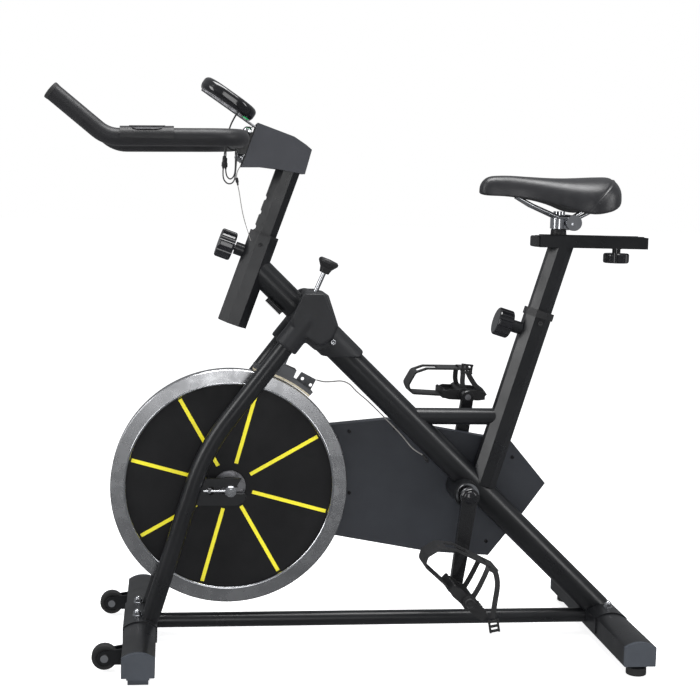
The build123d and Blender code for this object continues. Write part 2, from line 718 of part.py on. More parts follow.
def axle_hardware():
    """Axle nuts, and the eye bolts that pull the axle forward to tighten the chain."""
    pieces = []
    for face, out in ((LEFT_DROPOUT, -1), (RIGHT_DROPOUT + DROPOUT_THICK, 1)):
        eye_low = min(face, face + out * 6)
        eye = ring(AXLE_X, AXLE_Z, eye_low, eye_low + 6, 10.5, AXLE_RADIUS)
        middle = face + out * 3
        eye += rod((AXLE_X - 50, middle, AXLE_Z), (AXLE_X - 9, middle, AXLE_Z), 2.5)
        pieces.append(eye - disc(AXLE_X, AXLE_Z, eye_low, eye_low + 6, AXLE_RADIUS))
        nut_low = min(face + out * 6, face + out * 13)
        pieces.append(hexagon(AXLE_X, AXLE_Z, nut_low, nut_low + 7, 17)
                      - disc(AXLE_X, AXLE_Z, nut_low, nut_low + 7, AXLE_RADIUS))
        nut = Plane(origin=(AXLE_X - 42, middle, AXLE_Z), z_dir=(1, 0, 0))
        nut = extrude(nut * RegularPolygon(5, 6, major_radius=False), 5)
        pieces.append(nut - rod((AXLE_X - 60, middle, AXLE_Z), (AXLE_X, middle, AXLE_Z), 2.5))
    return pieces


# ---------------------------------------------------------------- cranks and pedals
def bottom_bracket_bearings():
    left = ring(CRANK_X, CRANK_Z, SHELL_LEFT - 4, SHELL_LEFT + 11, 20, 8.54)
    left += ring(CRANK_X, CRANK_Z, SHELL_LEFT - 4, SHELL_LEFT, 22, 8.54)
    right = ring(CRANK_X, CRANK_Z, SHELL_RIGHT - 15, SHELL_RIGHT, 20, 8.54)
    return [left, right]


def crank_spindle():
    return disc(CRANK_X, CRANK_Z, -LEFT_ARM_FACE + 5, RIGHT_ARM_FACE - 5, 8.5)


def crank_arm(side):
    """One crank: a flat bar that narrows towards the pedal. The right one has the chainring's boss."""
    face = LEFT_ARM_FACE if side < 0 else RIGHT_ARM_FACE
    inner = side * (face - ARM_THICK)
    outer = side * face
    low, high = min(inner, outer), max(inner, outer)
    end = crank_point(-side * CRANK_LENGTH, 0)
    root = crank_point(0, 0)
    along = (end - root).normalized()
    across = Vector(along.Z, 0, -along.X)
    corners = [root + across * 15, end + across * 11.5, end - across * 11.5, root - across * 15]
    arm = slab([(c.X, c.Z) for c in corners], low, high)
    arm += disc(root.X, root.Z, low, high, 17)
    arm += disc(end.X, end.Z, low, high, 12.5)
    arm = chamfer(arm.edges().filter_by(Axis.Y, reverse=True).group_by(Axis.Y)[0], 1.2)
    arm = chamfer(arm.edges().filter_by(Axis.Y, reverse=True).group_by(Axis.Y)[-1], 1.2)
    if side > 0:
        arm += disc(root.X, root.Z, CHAIN_Y - SPROCKET_HALF, low, 15)
    arm -= disc(root.X, root.Z, -LEFT_ARM_FACE + 5, RIGHT_ARM_FACE - 5, 8.5)
    arm -= disc(end.X, end.Z, low - 1, high + 1, SPINDLE_RADIUS)
    return arm


def pedal_spindles():
    """The two steel spindles screwed into the cranks."""
    spindles = []
    for side, face in ((-1, LEFT_ARM_FACE), (1, RIGHT_ARM_FACE)):
        end = crank_point(-side * CRANK_LENGTH, 0)
        ys = sorted((side * (face - ARM_THICK), side * (PEDAL_OUTER - 8)))
        spindle = disc(end.X, end.Z, ys[0], ys[1], SPINDLE_RADIUS)
        collar = sorted((side * face, side * (PEDAL_INNER - 3)))
        spindles.append(spindle + disc(end.X, end.Z, collar[0], collar[1], 8.5))
    return spindles


def pedal_frame(side):
    """The plane of a pedal: x runs rearward along it, and z up out of its tread."""
    end = crank_point(-side * CRANK_LENGTH, 0)
    tilt = LEFT_PEDAL_TILT if side < 0 else RIGHT_PEDAL_TILT
    return Location((end.X, 0, end.Z), (0, tilt, 0))


def pedal(side):
    """A caged pedal: a barrel around the spindle, two toothed side plates and two cross bars."""
    low, high = PEDAL_INNER, PEDAL_OUTER
    barrel = disc(0, 0, low, high, 13)
    barrel += slab([(-38, -9), (-38, 5), (-30, 9), (30, 9), (42, 6), (42, -9), (30, -11), (-30, -11)],
                   low + 4, low + 10)
    barrel += slab([(-38, -9), (-38, 5), (-30, 9), (30, 9), (42, 6), (42, -9), (30, -11), (-30, -11)],
                   high - 16, high - 10)
    for x in (-40, 38):
        barrel += block((x - 3, low + 4, -9), (x + 5, high - 10, 6))
    for y in (low + 32, low + 58):
        barrel += block((-38, y, -5), (38, y + 6, 4))
    barrel -= disc(0, 0, low - 1, PEDAL_OUTER - 7, SPINDLE_RADIUS + 0.04)
    if side < 0:
        barrel = mirror(barrel, Plane.XZ)
    return pedal_frame(side) * barrel


CLIP_NOSE = [(-41, 0, -5), (-104, 0, -4), (-112, 0, 12)]
LEFT_CLIP_TOP = [(-104, 0, 38), (-78, 0, 56), (4, 0, 78)]
RIGHT_CLIP_TOP = [(-99, 0, 38), (-76, 0, 47), (13, 0, 50)]


def toe_clip(side):
    """The plastic toe cage: it starts at the pedal's nose, turns up and runs back over the shoe.

    The left one's straps are slack, so its top stands further from the pedal."""
    top = LEFT_CLIP_TOP if side < 0 else RIGHT_CLIP_TOP
    band = trace_band(FilletPolyline(*CLIP_NOSE, *top, radius=9), 3.2, 62)
    band -= block((-94, -17, 8), (-52, 17, 90))
    clip = Pos(0, (PEDAL_INNER + PEDAL_OUTER) / 2 - 3, 0) * band
    if side < 0:
        clip = mirror(clip, Plane.XZ)
    return pedal_frame(side) * clip - pedal(side)


def trace_band(path, thick, width):
    """A strip of even thickness that follows a path in the XZ plane."""
    face = make_face(offset(path, thick / 2, kind=Kind.ARC, side=Side.BOTH))
    return Pos(0, -width / 2, 0) * extrude(face, width, dir=(0, 1, 0))


# ---------------------------------------------------------------- knobs
KNOB_HEIGHT = 48.0
SEAT_KNOB_HEIGHT = -42.0
KNOB_BOSS = 43.0
KNOB_RADIUS = 27.0
KNOB_THICK = 30.0


def grip_knob(radius, thick, lobes):
    """A round plastic knob with finger grooves, standing on z = 0."""
    knob = extrude(Circle(radius), thick)
    knob = fillet(knob.edges(), 4.0)
    for lobe in range(lobes):
        angle = 2 * pi * (lobe + 0.5) / lobes
        place = Pos((radius + 5.2) * cos(angle), (radius + 5.2) * sin(angle), -1)
        knob -= place * Cylinder(8, thick + 2, align=(Align.CENTER, Align.CENTER, Align.MIN))
    return knob


def post_knob(foot, direction):
    """A knob on a pin. The pin's tip stops just short of the post that it holds."""
    place = Plane(origin=foot, z_dir=direction)
    knob = place.offset(KNOB_BOSS + 3) * grip_knob(KNOB_RADIUS, KNOB_THICK, 8)
    start = POST_ACROSS / 2 + CLEAR
    pin = place.offset(start) * Cylinder(5.0, KNOB_BOSS + 5 - start,
                                         align=(Align.CENTER, Align.CENTER, Align.MIN))
    return knob + pin


def head_knob():
    return post_knob(head_point(KNOB_HEIGHT), HEAD_FRONT)


def seat_knob():
    return post_knob(seat_point(SEAT_KNOB_HEIGHT), SEAT_FRONT)


SLIDER_KNOB_X = 517.5
STUD_RADIUS = 4.0
STUD_END = RAIL_BOTTOM - 22


def slider_knob():
    """The knob under the seat rail, which turns on the slider's stud."""
    place = Plane(origin=(SLIDER_KNOB_X, 0, RAIL_BOTTOM - 9), z_dir=(0, 0, -1))
    knob = place * grip_knob(25, 19, 8)
    knob += rod((SLIDER_KNOB_X, 0, RAIL_BOTTOM - 9), (SLIDER_KNOB_X, 0, RAIL_BOTTOM - 1), 8)
    return knob - rod((SLIDER_KNOB_X, 0, STUD_END - 1), (SLIDER_KNOB_X, 0, RAIL_BOTTOM), STUD_RADIUS + CLEAR)


# ---------------------------------------------------------------- brake
def brake_rod():
    """The steel rod that runs through the main tube down to the brake pad."""
    return rod(brake_point(WHEEL_RADIUS + PAD_GAP + 26), brake_point(450), BRAKE_ROD_RADIUS)


def brake_knob():
    """The mushroom knob: press it to stop the wheel, turn it to set the load."""
    place = Plane(origin=brake_point(440), z_dir=BRAKE_AXIS)
    profile = make_face(Polyline((0, 0, 0), (9, 0, 0), (12, 0, 10), (19.5, 0, 20), (19.5, 0, 24),
                                 (16, 0, 27), (0, 0, 28), close=True))
    knob = place * revolve(profile, Axis.Z)
    return knob - rod(brake_point(430), brake_point(450), BRAKE_ROD_RADIUS + 0.04)


FELT_BLOCKS = 6
FELT_THICK = 4.0
PAD_START = BRAKE_LEAN - 12.5
PAD_ANGLE = 30.0


def brake_pad():
    """The carrier with its tail plate, and the row of felt blocks that faces the flywheel's rim."""
    inner = WHEEL_RADIUS + PAD_GAP
    shoe = ring(AXLE_X, AXLE_Z, -WHEEL_HALF, WHEEL_HALF, inner + 12, inner + FELT_THICK)
    shoe = shoe & pad_wedge(inner + 40, PAD_START, PAD_START + PAD_ANGLE, 20)
    place = Plane(origin=brake_point(inner + 10), x_dir=(0, 1, 0), z_dir=BRAKE_AXIS)
    carrier = extrude(place * Rectangle(34, 52), 17)
    carrier -= disc(AXLE_X, AXLE_Z, -30, 30, inner + 6)
    tail = slab([(-86, 519.5), (-58, 505), (-69, 484), (-98, 502)], -1.5, 1.5)
    for x, z in ((-84, 506.5), (-68.5, 494.5)):
        tail -= disc(x, z, -3, 3, 3.2)
    pieces = [shoe + carrier + tail - rod(brake_point(inner + 26), brake_point(500), BRAKE_ROD_RADIUS)]
    felt = ring(AXLE_X, AXLE_Z, -WHEEL_HALF, WHEEL_HALF, inner + FELT_THICK, inner)
    step = PAD_ANGLE / FELT_BLOCKS
    for index in range(FELT_BLOCKS):
        start = PAD_START + index * step
        pieces.append(felt & pad_wedge(inner + 40, start + 0.05, start + step - 0.05, 20))
    return pieces


def pad_wedge(radius, start, end, half):
    """A wedge of the flywheel's circle, between two angles from upright."""
    points = [(AXLE_X, AXLE_Z)]
    for angle in (start, (start + end) / 2, end):
        points.append((AXLE_X + radius * sin(radians(angle)), AXLE_Z + radius * cos(radians(angle))))
    return slab(points, -half, half)


# ---------------------------------------------------------------- handlebar
def handlebar_post():
    """The octagonal post with the two cheeks and the front plate of the stem."""
    post = head_solid(POST_ACROSS, POST_FOOT, POST_HEAD)
    post -= head_solid(POST_ACROSS - 2 * POST_WALL, POST_FOOT - 1, POST_HEAD - 3)
    for along in (97, 126, 154):
        post -= rod(head_point(along, POST_ACROSS / 2 + 2, -30), head_point(along, POST_ACROSS / 2 + 2, 30), 5)
    cheek = slab([(-184, 962), (-203, 908), (-141, 906), (-97, 901), (-90, 928), (-100, 944),
                  (-122, 950)], POST_ACROSS / 2, POST_ACROSS / 2 + 4)
    for part in both_sides(cheek):
        post += part
    plate = slab([(-180.4, 972), (-203, 908), (-197, 906), (-175.4, 968)], -26, 26)
    return post + plate - console_bracket()


POST_FOOT = -40.0
POST_HEAD = 254.0
STEM_OUTLINE = [(-179, 981), (-208, 900), (-170, 901), (-141, 898), (-91, 890), (-79, 935),
                (-90, 944), (-112, 958)]


def stem_cover():
    """The plastic hood over the stem, open at the front and around the post."""
    hood = slab(STEM_OUTLINE, -35, 35)
    hollow = slab([(-220, 983), (-220, 903), (-170, 904), (-141, 901), (-94, 893.5), (-82.5, 934),
                   (-92, 941), (-113, 955), (-178, 977)], -32, 32)
    hood -= hollow
    hood -= head_solid(POST_ACROSS + 1, 150, 240)
    return hood


def bar_route():
    """The handlebar's route, from the left tip around to the right tip."""
    left = [(BAR_TIP[0], -BAR_HALF_WIDTH, BAR_TIP[1]), (BAR_ELBOW[0], -BAR_HALF_WIDTH, BAR_ELBOW[1]),
            (BAR_REAR[0], -BAR_HALF_WIDTH, BAR_REAR[1])]
    right = [(x, -y, z) for x, y, z in reversed(left)]
    return left + right


def handlebar():
    """The bent bar with the bracket that bolts to the stem."""
    route = bar_route()
    bar = swept(route, BAR_RADIUS, BAR_BEND_RADIUS)
    bar -= swept(route, BAR_RADIUS - BAR_WALL, BAR_BEND_RADIUS)
    bracket = slab([(-184.3, 964), (-190, 964), (-214, 956), (-216, 938), (-207, 910), (-203.3, 908)],
                   -24, 24)
    inside = rod((BAR_REAR[0], -30, BAR_REAR[1]), (BAR_REAR[0], 30, BAR_REAR[1]), BAR_RADIUS - 1)
    return bar + (bracket - inside)


def handlebar_grips():
    """Two foam grips, each along one arm and around its rear corner."""
    route = bar_route()
    foam = swept(route, GRIP_RADIUS, BAR_BEND_RADIUS) - swept(route, BAR_RADIUS, BAR_BEND_RADIUS)
    left = foam & block((-600, -300, 900), (-100, -GRIP_END_Y, 1100))
    right = foam & block((-600, GRIP_END_Y, 900), (-100, 300, 1100))
    return [left, right]


def pulse_sensors():
    """A curved plastic saddle over each grip, which carries the hand pulse plates."""
    rise = (BAR_ELBOW[1] - BAR_REAR[1]) / (BAR_ELBOW[0] - BAR_REAR[0])
    start = (-331, -BAR_HALF_WIDTH, BAR_REAR[1] + rise * (-331 - BAR_REAR[0]))
    end = (-421, -BAR_HALF_WIDTH, BAR_REAR[1] + rise * (-421 - BAR_REAR[0]))
    saddle = rod(start, end, GRIP_RADIUS + 3.5) - rod(start, end, GRIP_RADIUS)
    saddle -= block((-600, -300, 800), (-100, 300, start[2] - 3))
    return both_sides(saddle)


def console_plane():
    """The console's middle plane: x runs down towards the rider, and z out of its face."""
    tilt = radians(CONSOLE_TILT)
    return Plane(origin=(CONSOLE_CENTRE[0], 0, CONSOLE_CENTRE[1]), x_dir=(cos(tilt), 0, -sin(tilt)),
                 z_dir=(sin(tilt), 0, cos(tilt)))


def console_case():
    """The console's case: a rounded slab, with a pocket for its button."""
    place = console_plane()
    case = extrude(place * RectangleRounded(CONSOLE_LENGTH, CONSOLE_WIDTH, 44), CONSOLE_THICK / 2,
                   both=True)
    case = fillet(case.edges(), 9.0)
    pocket = place.offset(CONSOLE_THICK / 2 - 5) * Pos(34, 0, 0)
    return case - pocket * Cylinder(9.4, 8, align=(Align.CENTER, Align.CENTER, Align.MIN))


def console_button():
    place = console_plane().offset(CONSOLE_THICK / 2 - 2.6) * Pos(34, 0, 0)
    return place * Cylinder(9.0, 4.4, align=(Align.CENTER, Align.CENTER, Align.MIN))


def console_bracket():
    """The thin steel strip that carries the console on the stem."""
    place = console_plane().offset(-CONSOLE_THICK / 2 - 2.2) * Pos(14, 0, 0)
    return extrude(place * Rectangle(128, 40), 2.2)


# ---------------------------------------------------------------- seat
def seat_post():
    """The octagonal post with the open rail welded across its top."""
    top = (RAIL_BOTTOM - SEAT_TOP[1]) / SEAT_AXIS.Z
    post = seat_solid(POST_ACROSS, -110, top + 8)
    post -= seat_solid(POST_ACROSS - 2 * POST_WALL, -111, top + 9)
    post -= block((RAIL_FRONT, -40, RAIL_BOTTOM), (RAIL_REAR, 40, RAIL_TOP + 30))
    rail = block((RAIL_FRONT, -RAIL_HALF_WIDTH, RAIL_BOTTOM), (RAIL_REAR, RAIL_HALF_WIDTH, RAIL_TOP))
    rail -= block((RAIL_FRONT + 4, -19, RAIL_BOTTOM + 3), (RAIL_REAR - 4, 19, RAIL_TOP - 3))
    rail -= block((RAIL_FRONT + 10, -12, RAIL_TOP - 4), (RAIL_REAR - 10, 12, RAIL_TOP + 1))
    rail -= block((SLIDER_KNOB_X - 22, -5, RAIL_BOTTOM - 1), (RAIL_REAR - 12, 5, RAIL_BOTTOM + 4))
    return post + rail


def seat_slider():
    """The bar that slides inside the rail, with the stud for its clamp knob."""
    bar = block((SADDLE_POST_X - 18, -18.7, RAIL_BOTTOM + 3.3), (535, 18.7, RAIL_TOP - 3.3))
    bar += rod((SADDLE_POST_X, 0, RAIL_TOP - 4), (SADDLE_POST_X, 0, RAIL_TOP + 6), 11.6)
    return bar + rod((SLIDER_KNOB_X, 0, STUD_END), (SLIDER_KNOB_X, 0, RAIL_BOTTOM + 6), STUD_RADIUS)


def saddle_post():
    """The bright post that the saddle's clamp grips."""
    post = rod((SADDLE_POST_X, 0, RAIL_TOP + 6), (SADDLE_POST_X, 0, SADDLE_POST_TOP), SADDLE_POST_RADIUS)
    post += ring_z(SADDLE_POST_X, 0, 800, 820, 16.5, SADDLE_POST_RADIUS - 0.5)
    post += block((SADDLE_POST_X + 8, -11, 803), (TILT_X, 11, 817))
    post += disc(TILT_X, TILT_Z, -11, 11, 9)
    return post + disc(TILT_X, TILT_Z, -34, 34, 4.0)


def ring_z(x, y, z_start, z_end, radius, bore):
    """An upright cylinder with a bore."""
    return rod((x, y, z_start), (x, y, z_end), radius) - rod((x, y, z_start), (x, y, z_end), bore)


def rail_route(side):
    return [(317, side * 9, 858), (345, side * 16, 843), (396, side * 22, 822), (434, side * 22, 822),
            (458, side * 30, 836)]


def saddle_rails():
    """The saddle's two wire rails, and the cheeks that clasp them."""
    rails = []
    for side in (-1, 1):
        wire = swept(rail_route(side), 3.5, 12)
        ys = sorted((side * 17, side * 28))
        cheek = disc(TILT_X, TILT_Z + 2, ys[0], ys[1], 15)
        cheek -= disc(TILT_X, TILT_Z, ys[0] - 1, ys[1] + 1, 4.06)
        cheek -= wire
        rails += [wire, cheek]
    return rails


def saddle():
    """The padded saddle as a plain closed form: its side outline inside its top outline."""
    side = make_face([Spline((244, -90, 868), (258, -90, 889), (296, -90, 898), (390, -90, 896),
                             (460, -90, 900), (500, -90, 899), (514, -90, 872)),
                      Spline((514, -90, 872), (498, -90, 842), (450, -90, 832), (395, -90, 847),
                             (330, -90, 859), (256, -90, 862), (244, -90, 868))])
    body = extrude(side, 180, dir=(0, 1, 0))
    left = Spline((244, 0, 820), (256, -17, 820), (300, -24, 820), (360, -40, 820), (410, -68, 820),
                  (452, -SADDLE_HALF_WIDTH, 820), (498, -64, 820), (514, 0, 820))
    right = mirror(left, Plane.XZ)
    plan = extrude(make_face([left, right]), 100)
    form = body & plan
    for side_sign in (-1, 1):
        form -= swept(rail_route(side_sign), 3.5, 12)
    return form


# ---------------------------------------------------------------- wires
def arc_radii(route):
    """The largest arc that each corner's two runs allow."""
    points = [Vector(*p) for p in route]
    radii = []
    for before, corner, after in zip(points, points[1:], points[2:]):
        first = corner - before
        second = after - corner
        turn = radians(first.get_angle(second))
        radii.append(0.45 * min(first.length, second.length) / tan(turn / 2))
    return radii


def wire(route, radius):
    """A wire along its route, with its arc radii printed."""
    radii = arc_radii(route)
    solid = swept(route, radius, radii)
    length = solid.volume / (pi * radius ** 2)
    print("wire", "length", round(length), "radii", [round(r) for r in radii])
    return solid


def console_wire_left():
    """The left hand pulse lead: out of the console, down past the bar, and up in a loop into it."""
    return wire([(-216, -26, 997.9), (-225, -26, 983), (-232, -25, 964), (-236, -25, 943),
                 (-239, -26, 921), (-240.5, -27, 899), (-241, -28, 886), (-239.5, -28.5, 876),
                 (-233, -29, 869), (-225, -29.5, 869), (-219.5, -30, 876), (-218.2, -30, 887),
                 (-217.3, -30, 902),
                 (-216.3, -30, 919), (-216, -30, 934.6)], WIRE_RADIUS)


def console_wire_right():
    """The right hand pulse lead, which hangs in a shorter loop."""
    return wire([(-216, 26, 997.9), (-224, 26.5, 984), (-230, 26, 966), (-233.5, 26, 945),
                 (-234, 27, 923), (-234, 28, 902), (-233.5, 29, 890), (-231, 29.5, 881.5),
                 (-225, 30, 877), (-219, 30.3, 881.5), (-216.3, 30.2, 890), (-215.7, 30, 906),
                 (-216, 30, 921), (-216, 30, 934.6)], WIRE_RADIUS)


def speed_sensor_wire():
    """The lead from the brake's tail plate to the main tube, and along its underside to its plug."""
    return wire([(-58.5, -10, 505.5), (-46, -12, 502), (-29, -13, 503), (-11, -12, 505),
                 (5, -10, 499), (18, -8, 484), (41, -6, 466), (71, -8, 437), (99, -6, 410),
                 (116, -7, 391), (126, -9, 378), (139, -10, 368), (153, -11, 361),
                 (159, -12, 351)], WIRE_RADIUS)


PARTS = {
    "front_stabilizer": front_stabilizer,
    "rear_stabilizer": rear_stabilizer,
    "stabilizer_end_caps": stabilizer_end_caps,
    "foot_plates": foot_plates,
    "stabilizer_bolts": stabilizer_bolts,
    "transport_wheel_left": lambda: transport_wheel(-1),
    "transport_wheel_right": lambda: transport_wheel(1),
    "levelling_foot_left": lambda: levelling_foot(-1),
    "levelling_foot_right": lambda: levelling_foot(1),
    "main_tube": main_tube,
    "head_tube": head_tube,
    "seat_tube": seat_tube,
    "cross_tube": cross_tube,
    "base_tube": base_tube,
    "fork_blade_left": lambda: fork_blade(-1, LEFT_DROPOUT),
    "fork_blade_right": lambda: fork_blade(1, RIGHT_DROPOUT),
    "tube_collars": tube_collars,
    "joint_covers": joint_covers,
    "drive_cover_inner": drive_cover_inner,
    "drive_cover_outer": drive_cover_outer,
    "cover_screws": cover_screws,
    "flywheel": flywheel,
    "flywheel_hub": flywheel_hub,
    "flywheel_bearings": flywheel_bearings,
    "flywheel_sprocket": flywheel_sprocket,
    "chainring": chainring,
    "drive_chain": drive_chain,
    "flywheel_axle": flywheel_axle,
    "axle_hardware": axle_hardware,
    "bottom_bracket_bearings": bottom_bracket_bearings,
    "crank_spindle": crank_spindle,
    "crank_arm_left": lambda: crank_arm(-1),
    "crank_arm_right": lambda: crank_arm(1),
    "pedal_spindles": pedal_spindles,
    "pedal_left": lambda: pedal(-1),
    "pedal_right": lambda: pedal(1),
    "toe_clip_left": lambda: toe_clip(-1),
    "toe_clip_right": lambda: toe_clip(1),
    "head_knob": head_knob,
    "seat_knob": seat_knob,
    "slider_knob": slider_knob,
    "brake_rod": brake_rod,
    "brake_knob": brake_knob,
    "brake_pad": brake_pad,
    "handlebar_post": handlebar_post,
    "stem_cover": stem_cover,
    "handlebar": handlebar,
    "handlebar_grips": handlebar_grips,
    "pulse_sensors": pulse_sensors,
    "console_case": console_case,
    "console_button": console_button,
    "console_bracket": console_bracket,
    "console_wire_left": console_wire_left,
    "console_wire_right": console_wire_right,
    "speed_sensor_wire": speed_sensor_wire,
    "seat_post": seat_post,
    "seat_slider": seat_slider,
    "saddle_post": saddle_post,
    "saddle_rails": saddle_rails,
    "saddle": saddle,
}


def write(name, build):
    """Writes one node's solids to its STEP file, in the bike's own frame."""
    made = build()
    pieces = made if isinstance(made, list) else [made]
    solids = [Pos(-BIKE_MIDDLE, 0, 0) * solid for piece in pieces for solid in piece.solids()]
    export_step(Compound(children=solids), "parts/" + name + ".step")


for part_name, builder in PARTS.items():
    write(part_name, builder)
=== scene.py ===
import math

import bmesh
import bpy
from mathutils import Matrix, Vector


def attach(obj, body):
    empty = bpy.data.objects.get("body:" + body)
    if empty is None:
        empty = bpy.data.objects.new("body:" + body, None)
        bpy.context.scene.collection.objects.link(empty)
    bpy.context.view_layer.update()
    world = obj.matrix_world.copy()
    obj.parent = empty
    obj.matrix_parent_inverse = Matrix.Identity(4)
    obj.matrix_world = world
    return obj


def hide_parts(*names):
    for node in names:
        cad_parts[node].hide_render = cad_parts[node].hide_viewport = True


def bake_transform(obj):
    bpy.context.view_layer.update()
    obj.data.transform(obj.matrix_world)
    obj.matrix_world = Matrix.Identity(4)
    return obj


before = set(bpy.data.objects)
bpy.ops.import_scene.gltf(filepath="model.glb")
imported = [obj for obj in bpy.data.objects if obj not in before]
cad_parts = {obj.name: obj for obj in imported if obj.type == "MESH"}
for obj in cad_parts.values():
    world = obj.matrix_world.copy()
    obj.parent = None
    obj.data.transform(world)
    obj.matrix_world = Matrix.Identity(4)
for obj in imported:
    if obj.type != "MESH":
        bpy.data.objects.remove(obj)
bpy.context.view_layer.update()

# The looks of the spin bike. Points are named in the CAD drawing's millimetres and turned into metres
# in the bike's frame by at(). The rider faces -X, and -Y is the rider's left.

# ---------------------------------------------------------------- driving dimensions
MM = 0.001
BIKE_MIDDLE = 13.75              # how far the bike's middle lies behind the drawing's datum
AXLE = (-218.5, 0.0, 301.5)
CRANK = (231.0, 0.0, 293.5)
CRANK_LENGTH = 170.0
CRANK_LEAN = 7.2                 # degrees from upright
RIM_INNER = 196.0
WHEEL_RADIUS = 223.0
RIM_HALF = 15.0
WEB_HALF = 7.0
PEDAL_MIDDLE = 151.5             # the middle of a pedal's clip, from the bike's middle
PEDAL_TILTS = {-1: 41.0, 1: 2.0}  # degrees, for the left and the right pedal
CONSOLE_CENTRE = (-232.0, 0.0, 1023.0)
CONSOLE_TILT = 33.5
CONSOLE_HALF_THICK = 12.0
WIRE_DIAMETER = 2.5 * MM


def at(x, y, z):
    """A point of the CAD drawing, in the bike's frame, in metres."""
    return Vector(((x - BIKE_MIDDLE) * MM, y * MM, z * MM))


def show(name, data):
    """A new object in the scene."""
    made = bpy.data.objects.new(name, data)
    bpy.context.scene.collection.objects.link(made)
    return made


# ---------------------------------------------------------------- camera
CAMERA_PLACE = at(-339.3, -2652.6, 865.8)
CAMERA_YAW = -0.1292
CAMERA_PITCH = -0.1131
CAMERA_ROLL = -0.0259
CAMERA_LENS = 73.03
CAMERA_SENSOR = 36.0


def make_camera():
    """The camera at the photograph's angle."""
    data = bpy.data.cameras.new("camera")
    data.lens = CAMERA_LENS
    data.sensor_width = CAMERA_SENSOR
    data.clip_start = 0.05
    data.clip_end = 200.0
    camera = show("camera", data)
    turn = Matrix.Rotation(CAMERA_YAW, 3, "Z") @ Matrix.Rotation(CAMERA_PITCH, 3, "X")
    turn = turn @ Matrix.Rotation(CAMERA_ROLL, 3, "Y") @ Matrix.Rotation(math.pi / 2, 3, "X")
    camera.matrix_world = Matrix.Translation(CAMERA_PLACE) @ turn.to_4x4()
    bpy.context.scene.camera = camera


make_camera()


# ---------------------------------------------------------------- mesh helpers
BEVEL_ANGLE = 35.0               # degrees: sharper edges than this are rounded
RIBBON_STEPS = 8                 # parts between two points of a strap


def shade_smooth(mesh):
    for face in mesh.polygons:
        face.use_smooth = True


def link(name, mesh, material, body):
    """Makes an object of a mesh that rides on a CAD body."""
    piece = show(name, mesh)
    mesh.materials.append(material)
    shade_smooth(mesh)
    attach(piece, body)
    return piece


def bevel_edges(piece, width, segments=3):
    """Rounds a piece's sharp edges and keeps its faces smooth."""
    modifier = piece.modifiers.new("bevel", "BEVEL")
    modifier.width = width
    modifier.segments = segments
    modifier.limit_method = "ANGLE"
    modifier.angle_limit = math.radians(BEVEL_ANGLE)
    modifier.harden_normals = True


def thicken(piece, thickness, offset):
    modifier = piece.modifiers.new("thickness", "SOLIDIFY")
    modifier.thickness = thickness
    modifier.offset = offset


def settle(piece):
    """Replaces a piece's mesh with what its modifiers make of it."""
    bpy.context.view_layer.update()
    graph = bpy.context.evaluated_depsgraph_get()
    mesh = bpy.data.meshes.new_from_object(piece.evaluated_get(graph))
    piece.modifiers.clear()
    piece.data = mesh
    return mesh


def make_mesh(name, points, faces):
    mesh = bpy.data.meshes.new(name)
    mesh.from_pydata([tuple(p) for p in points], [], faces)
    mesh.validate()
    tidy = bmesh.new()
    tidy.from_mesh(mesh)
    bmesh.ops.recalc_face_normals(tidy, faces=tidy.faces)
    tidy.to_mesh(mesh)
    tidy.free()
    return mesh


def joined(shapes):
    """The points and faces of several shapes, as one shape's."""
    points = []
    faces = []
    for some, ring in shapes:
        faces += [tuple(index + len(points) for index in face) for face in ring]
        points += some
    return points, faces


def ring_faces(rings, count):
    """The faces between closed rings of count points each."""
    faces = []
    for ring in range(rings - 1):
        base = ring * count
        for step in range(count):
            after = (step + 1) % count
            faces.append((base + step, base + after, base + count + after, base + count + step))
    return faces


def basis(axis):
    """Two unit vectors square to an axis."""
    axis = Vector(axis).normalized()
    helper = Vector((0, 1, 0)) if abs(axis.y) < 0.9 else Vector((1, 0, 0))
    first = axis.cross(helper).normalized()
    return first, axis.cross(first)


def lathe_points(profile, origin, axis, segments):
    """Points and faces of a profile of (radius, height), in mm, turned about an axis."""
    axis = Vector(axis).normalized()
    first, second = basis(axis)
    points = []
    for radius, height in profile:
        for step in range(segments):
            angle = 2 * math.pi * step / segments
            out = first * math.cos(angle) + second * math.sin(angle)
            points.append(Vector(origin) + axis * (height * MM) + out * max(radius * MM, 1e-6))
    return points, ring_faces(len(profile), segments)


def lathes(name, turned, material, body, segments=40):
    """One piece made of several turned profiles: each is (profile, origin, axis)."""
    shapes = [lathe_points(*turn, segments) for turn in turned]
    link(name, make_mesh(name, *joined(shapes)), material, body)


def box_points(centre, right, up, sizes):
    """The corners of a box about a centre, whose sizes run along right, up and their cross product,
    and its faces."""
    right = Vector(right).normalized()
    up = Vector(up).normalized()
    across = right.cross(up)
    width, height, depth = [size * MM for size in sizes]
    corners = []
    for a in (-0.5, 0.5):
        for b in (-0.5, 0.5):
            for c in (-0.5, 0.5):
                corners.append(centre + right * a * width + up * b * height + across * c * depth)
    faces = [(0, 1, 3, 2), (4, 6, 7, 5), (0, 4, 5, 1), (2, 3, 7, 6), (0, 2, 6, 4), (1, 5, 7, 3)]
    return corners, faces


def boxes(name, blocks, material, body, rounding):
    """One piece made of several boxes with rounded edges."""
    shapes = [box_points(*block) for block in blocks]
    piece = link(name, make_mesh(name, *joined(shapes)), material, body)
    bevel_edges(piece, rounding * MM)


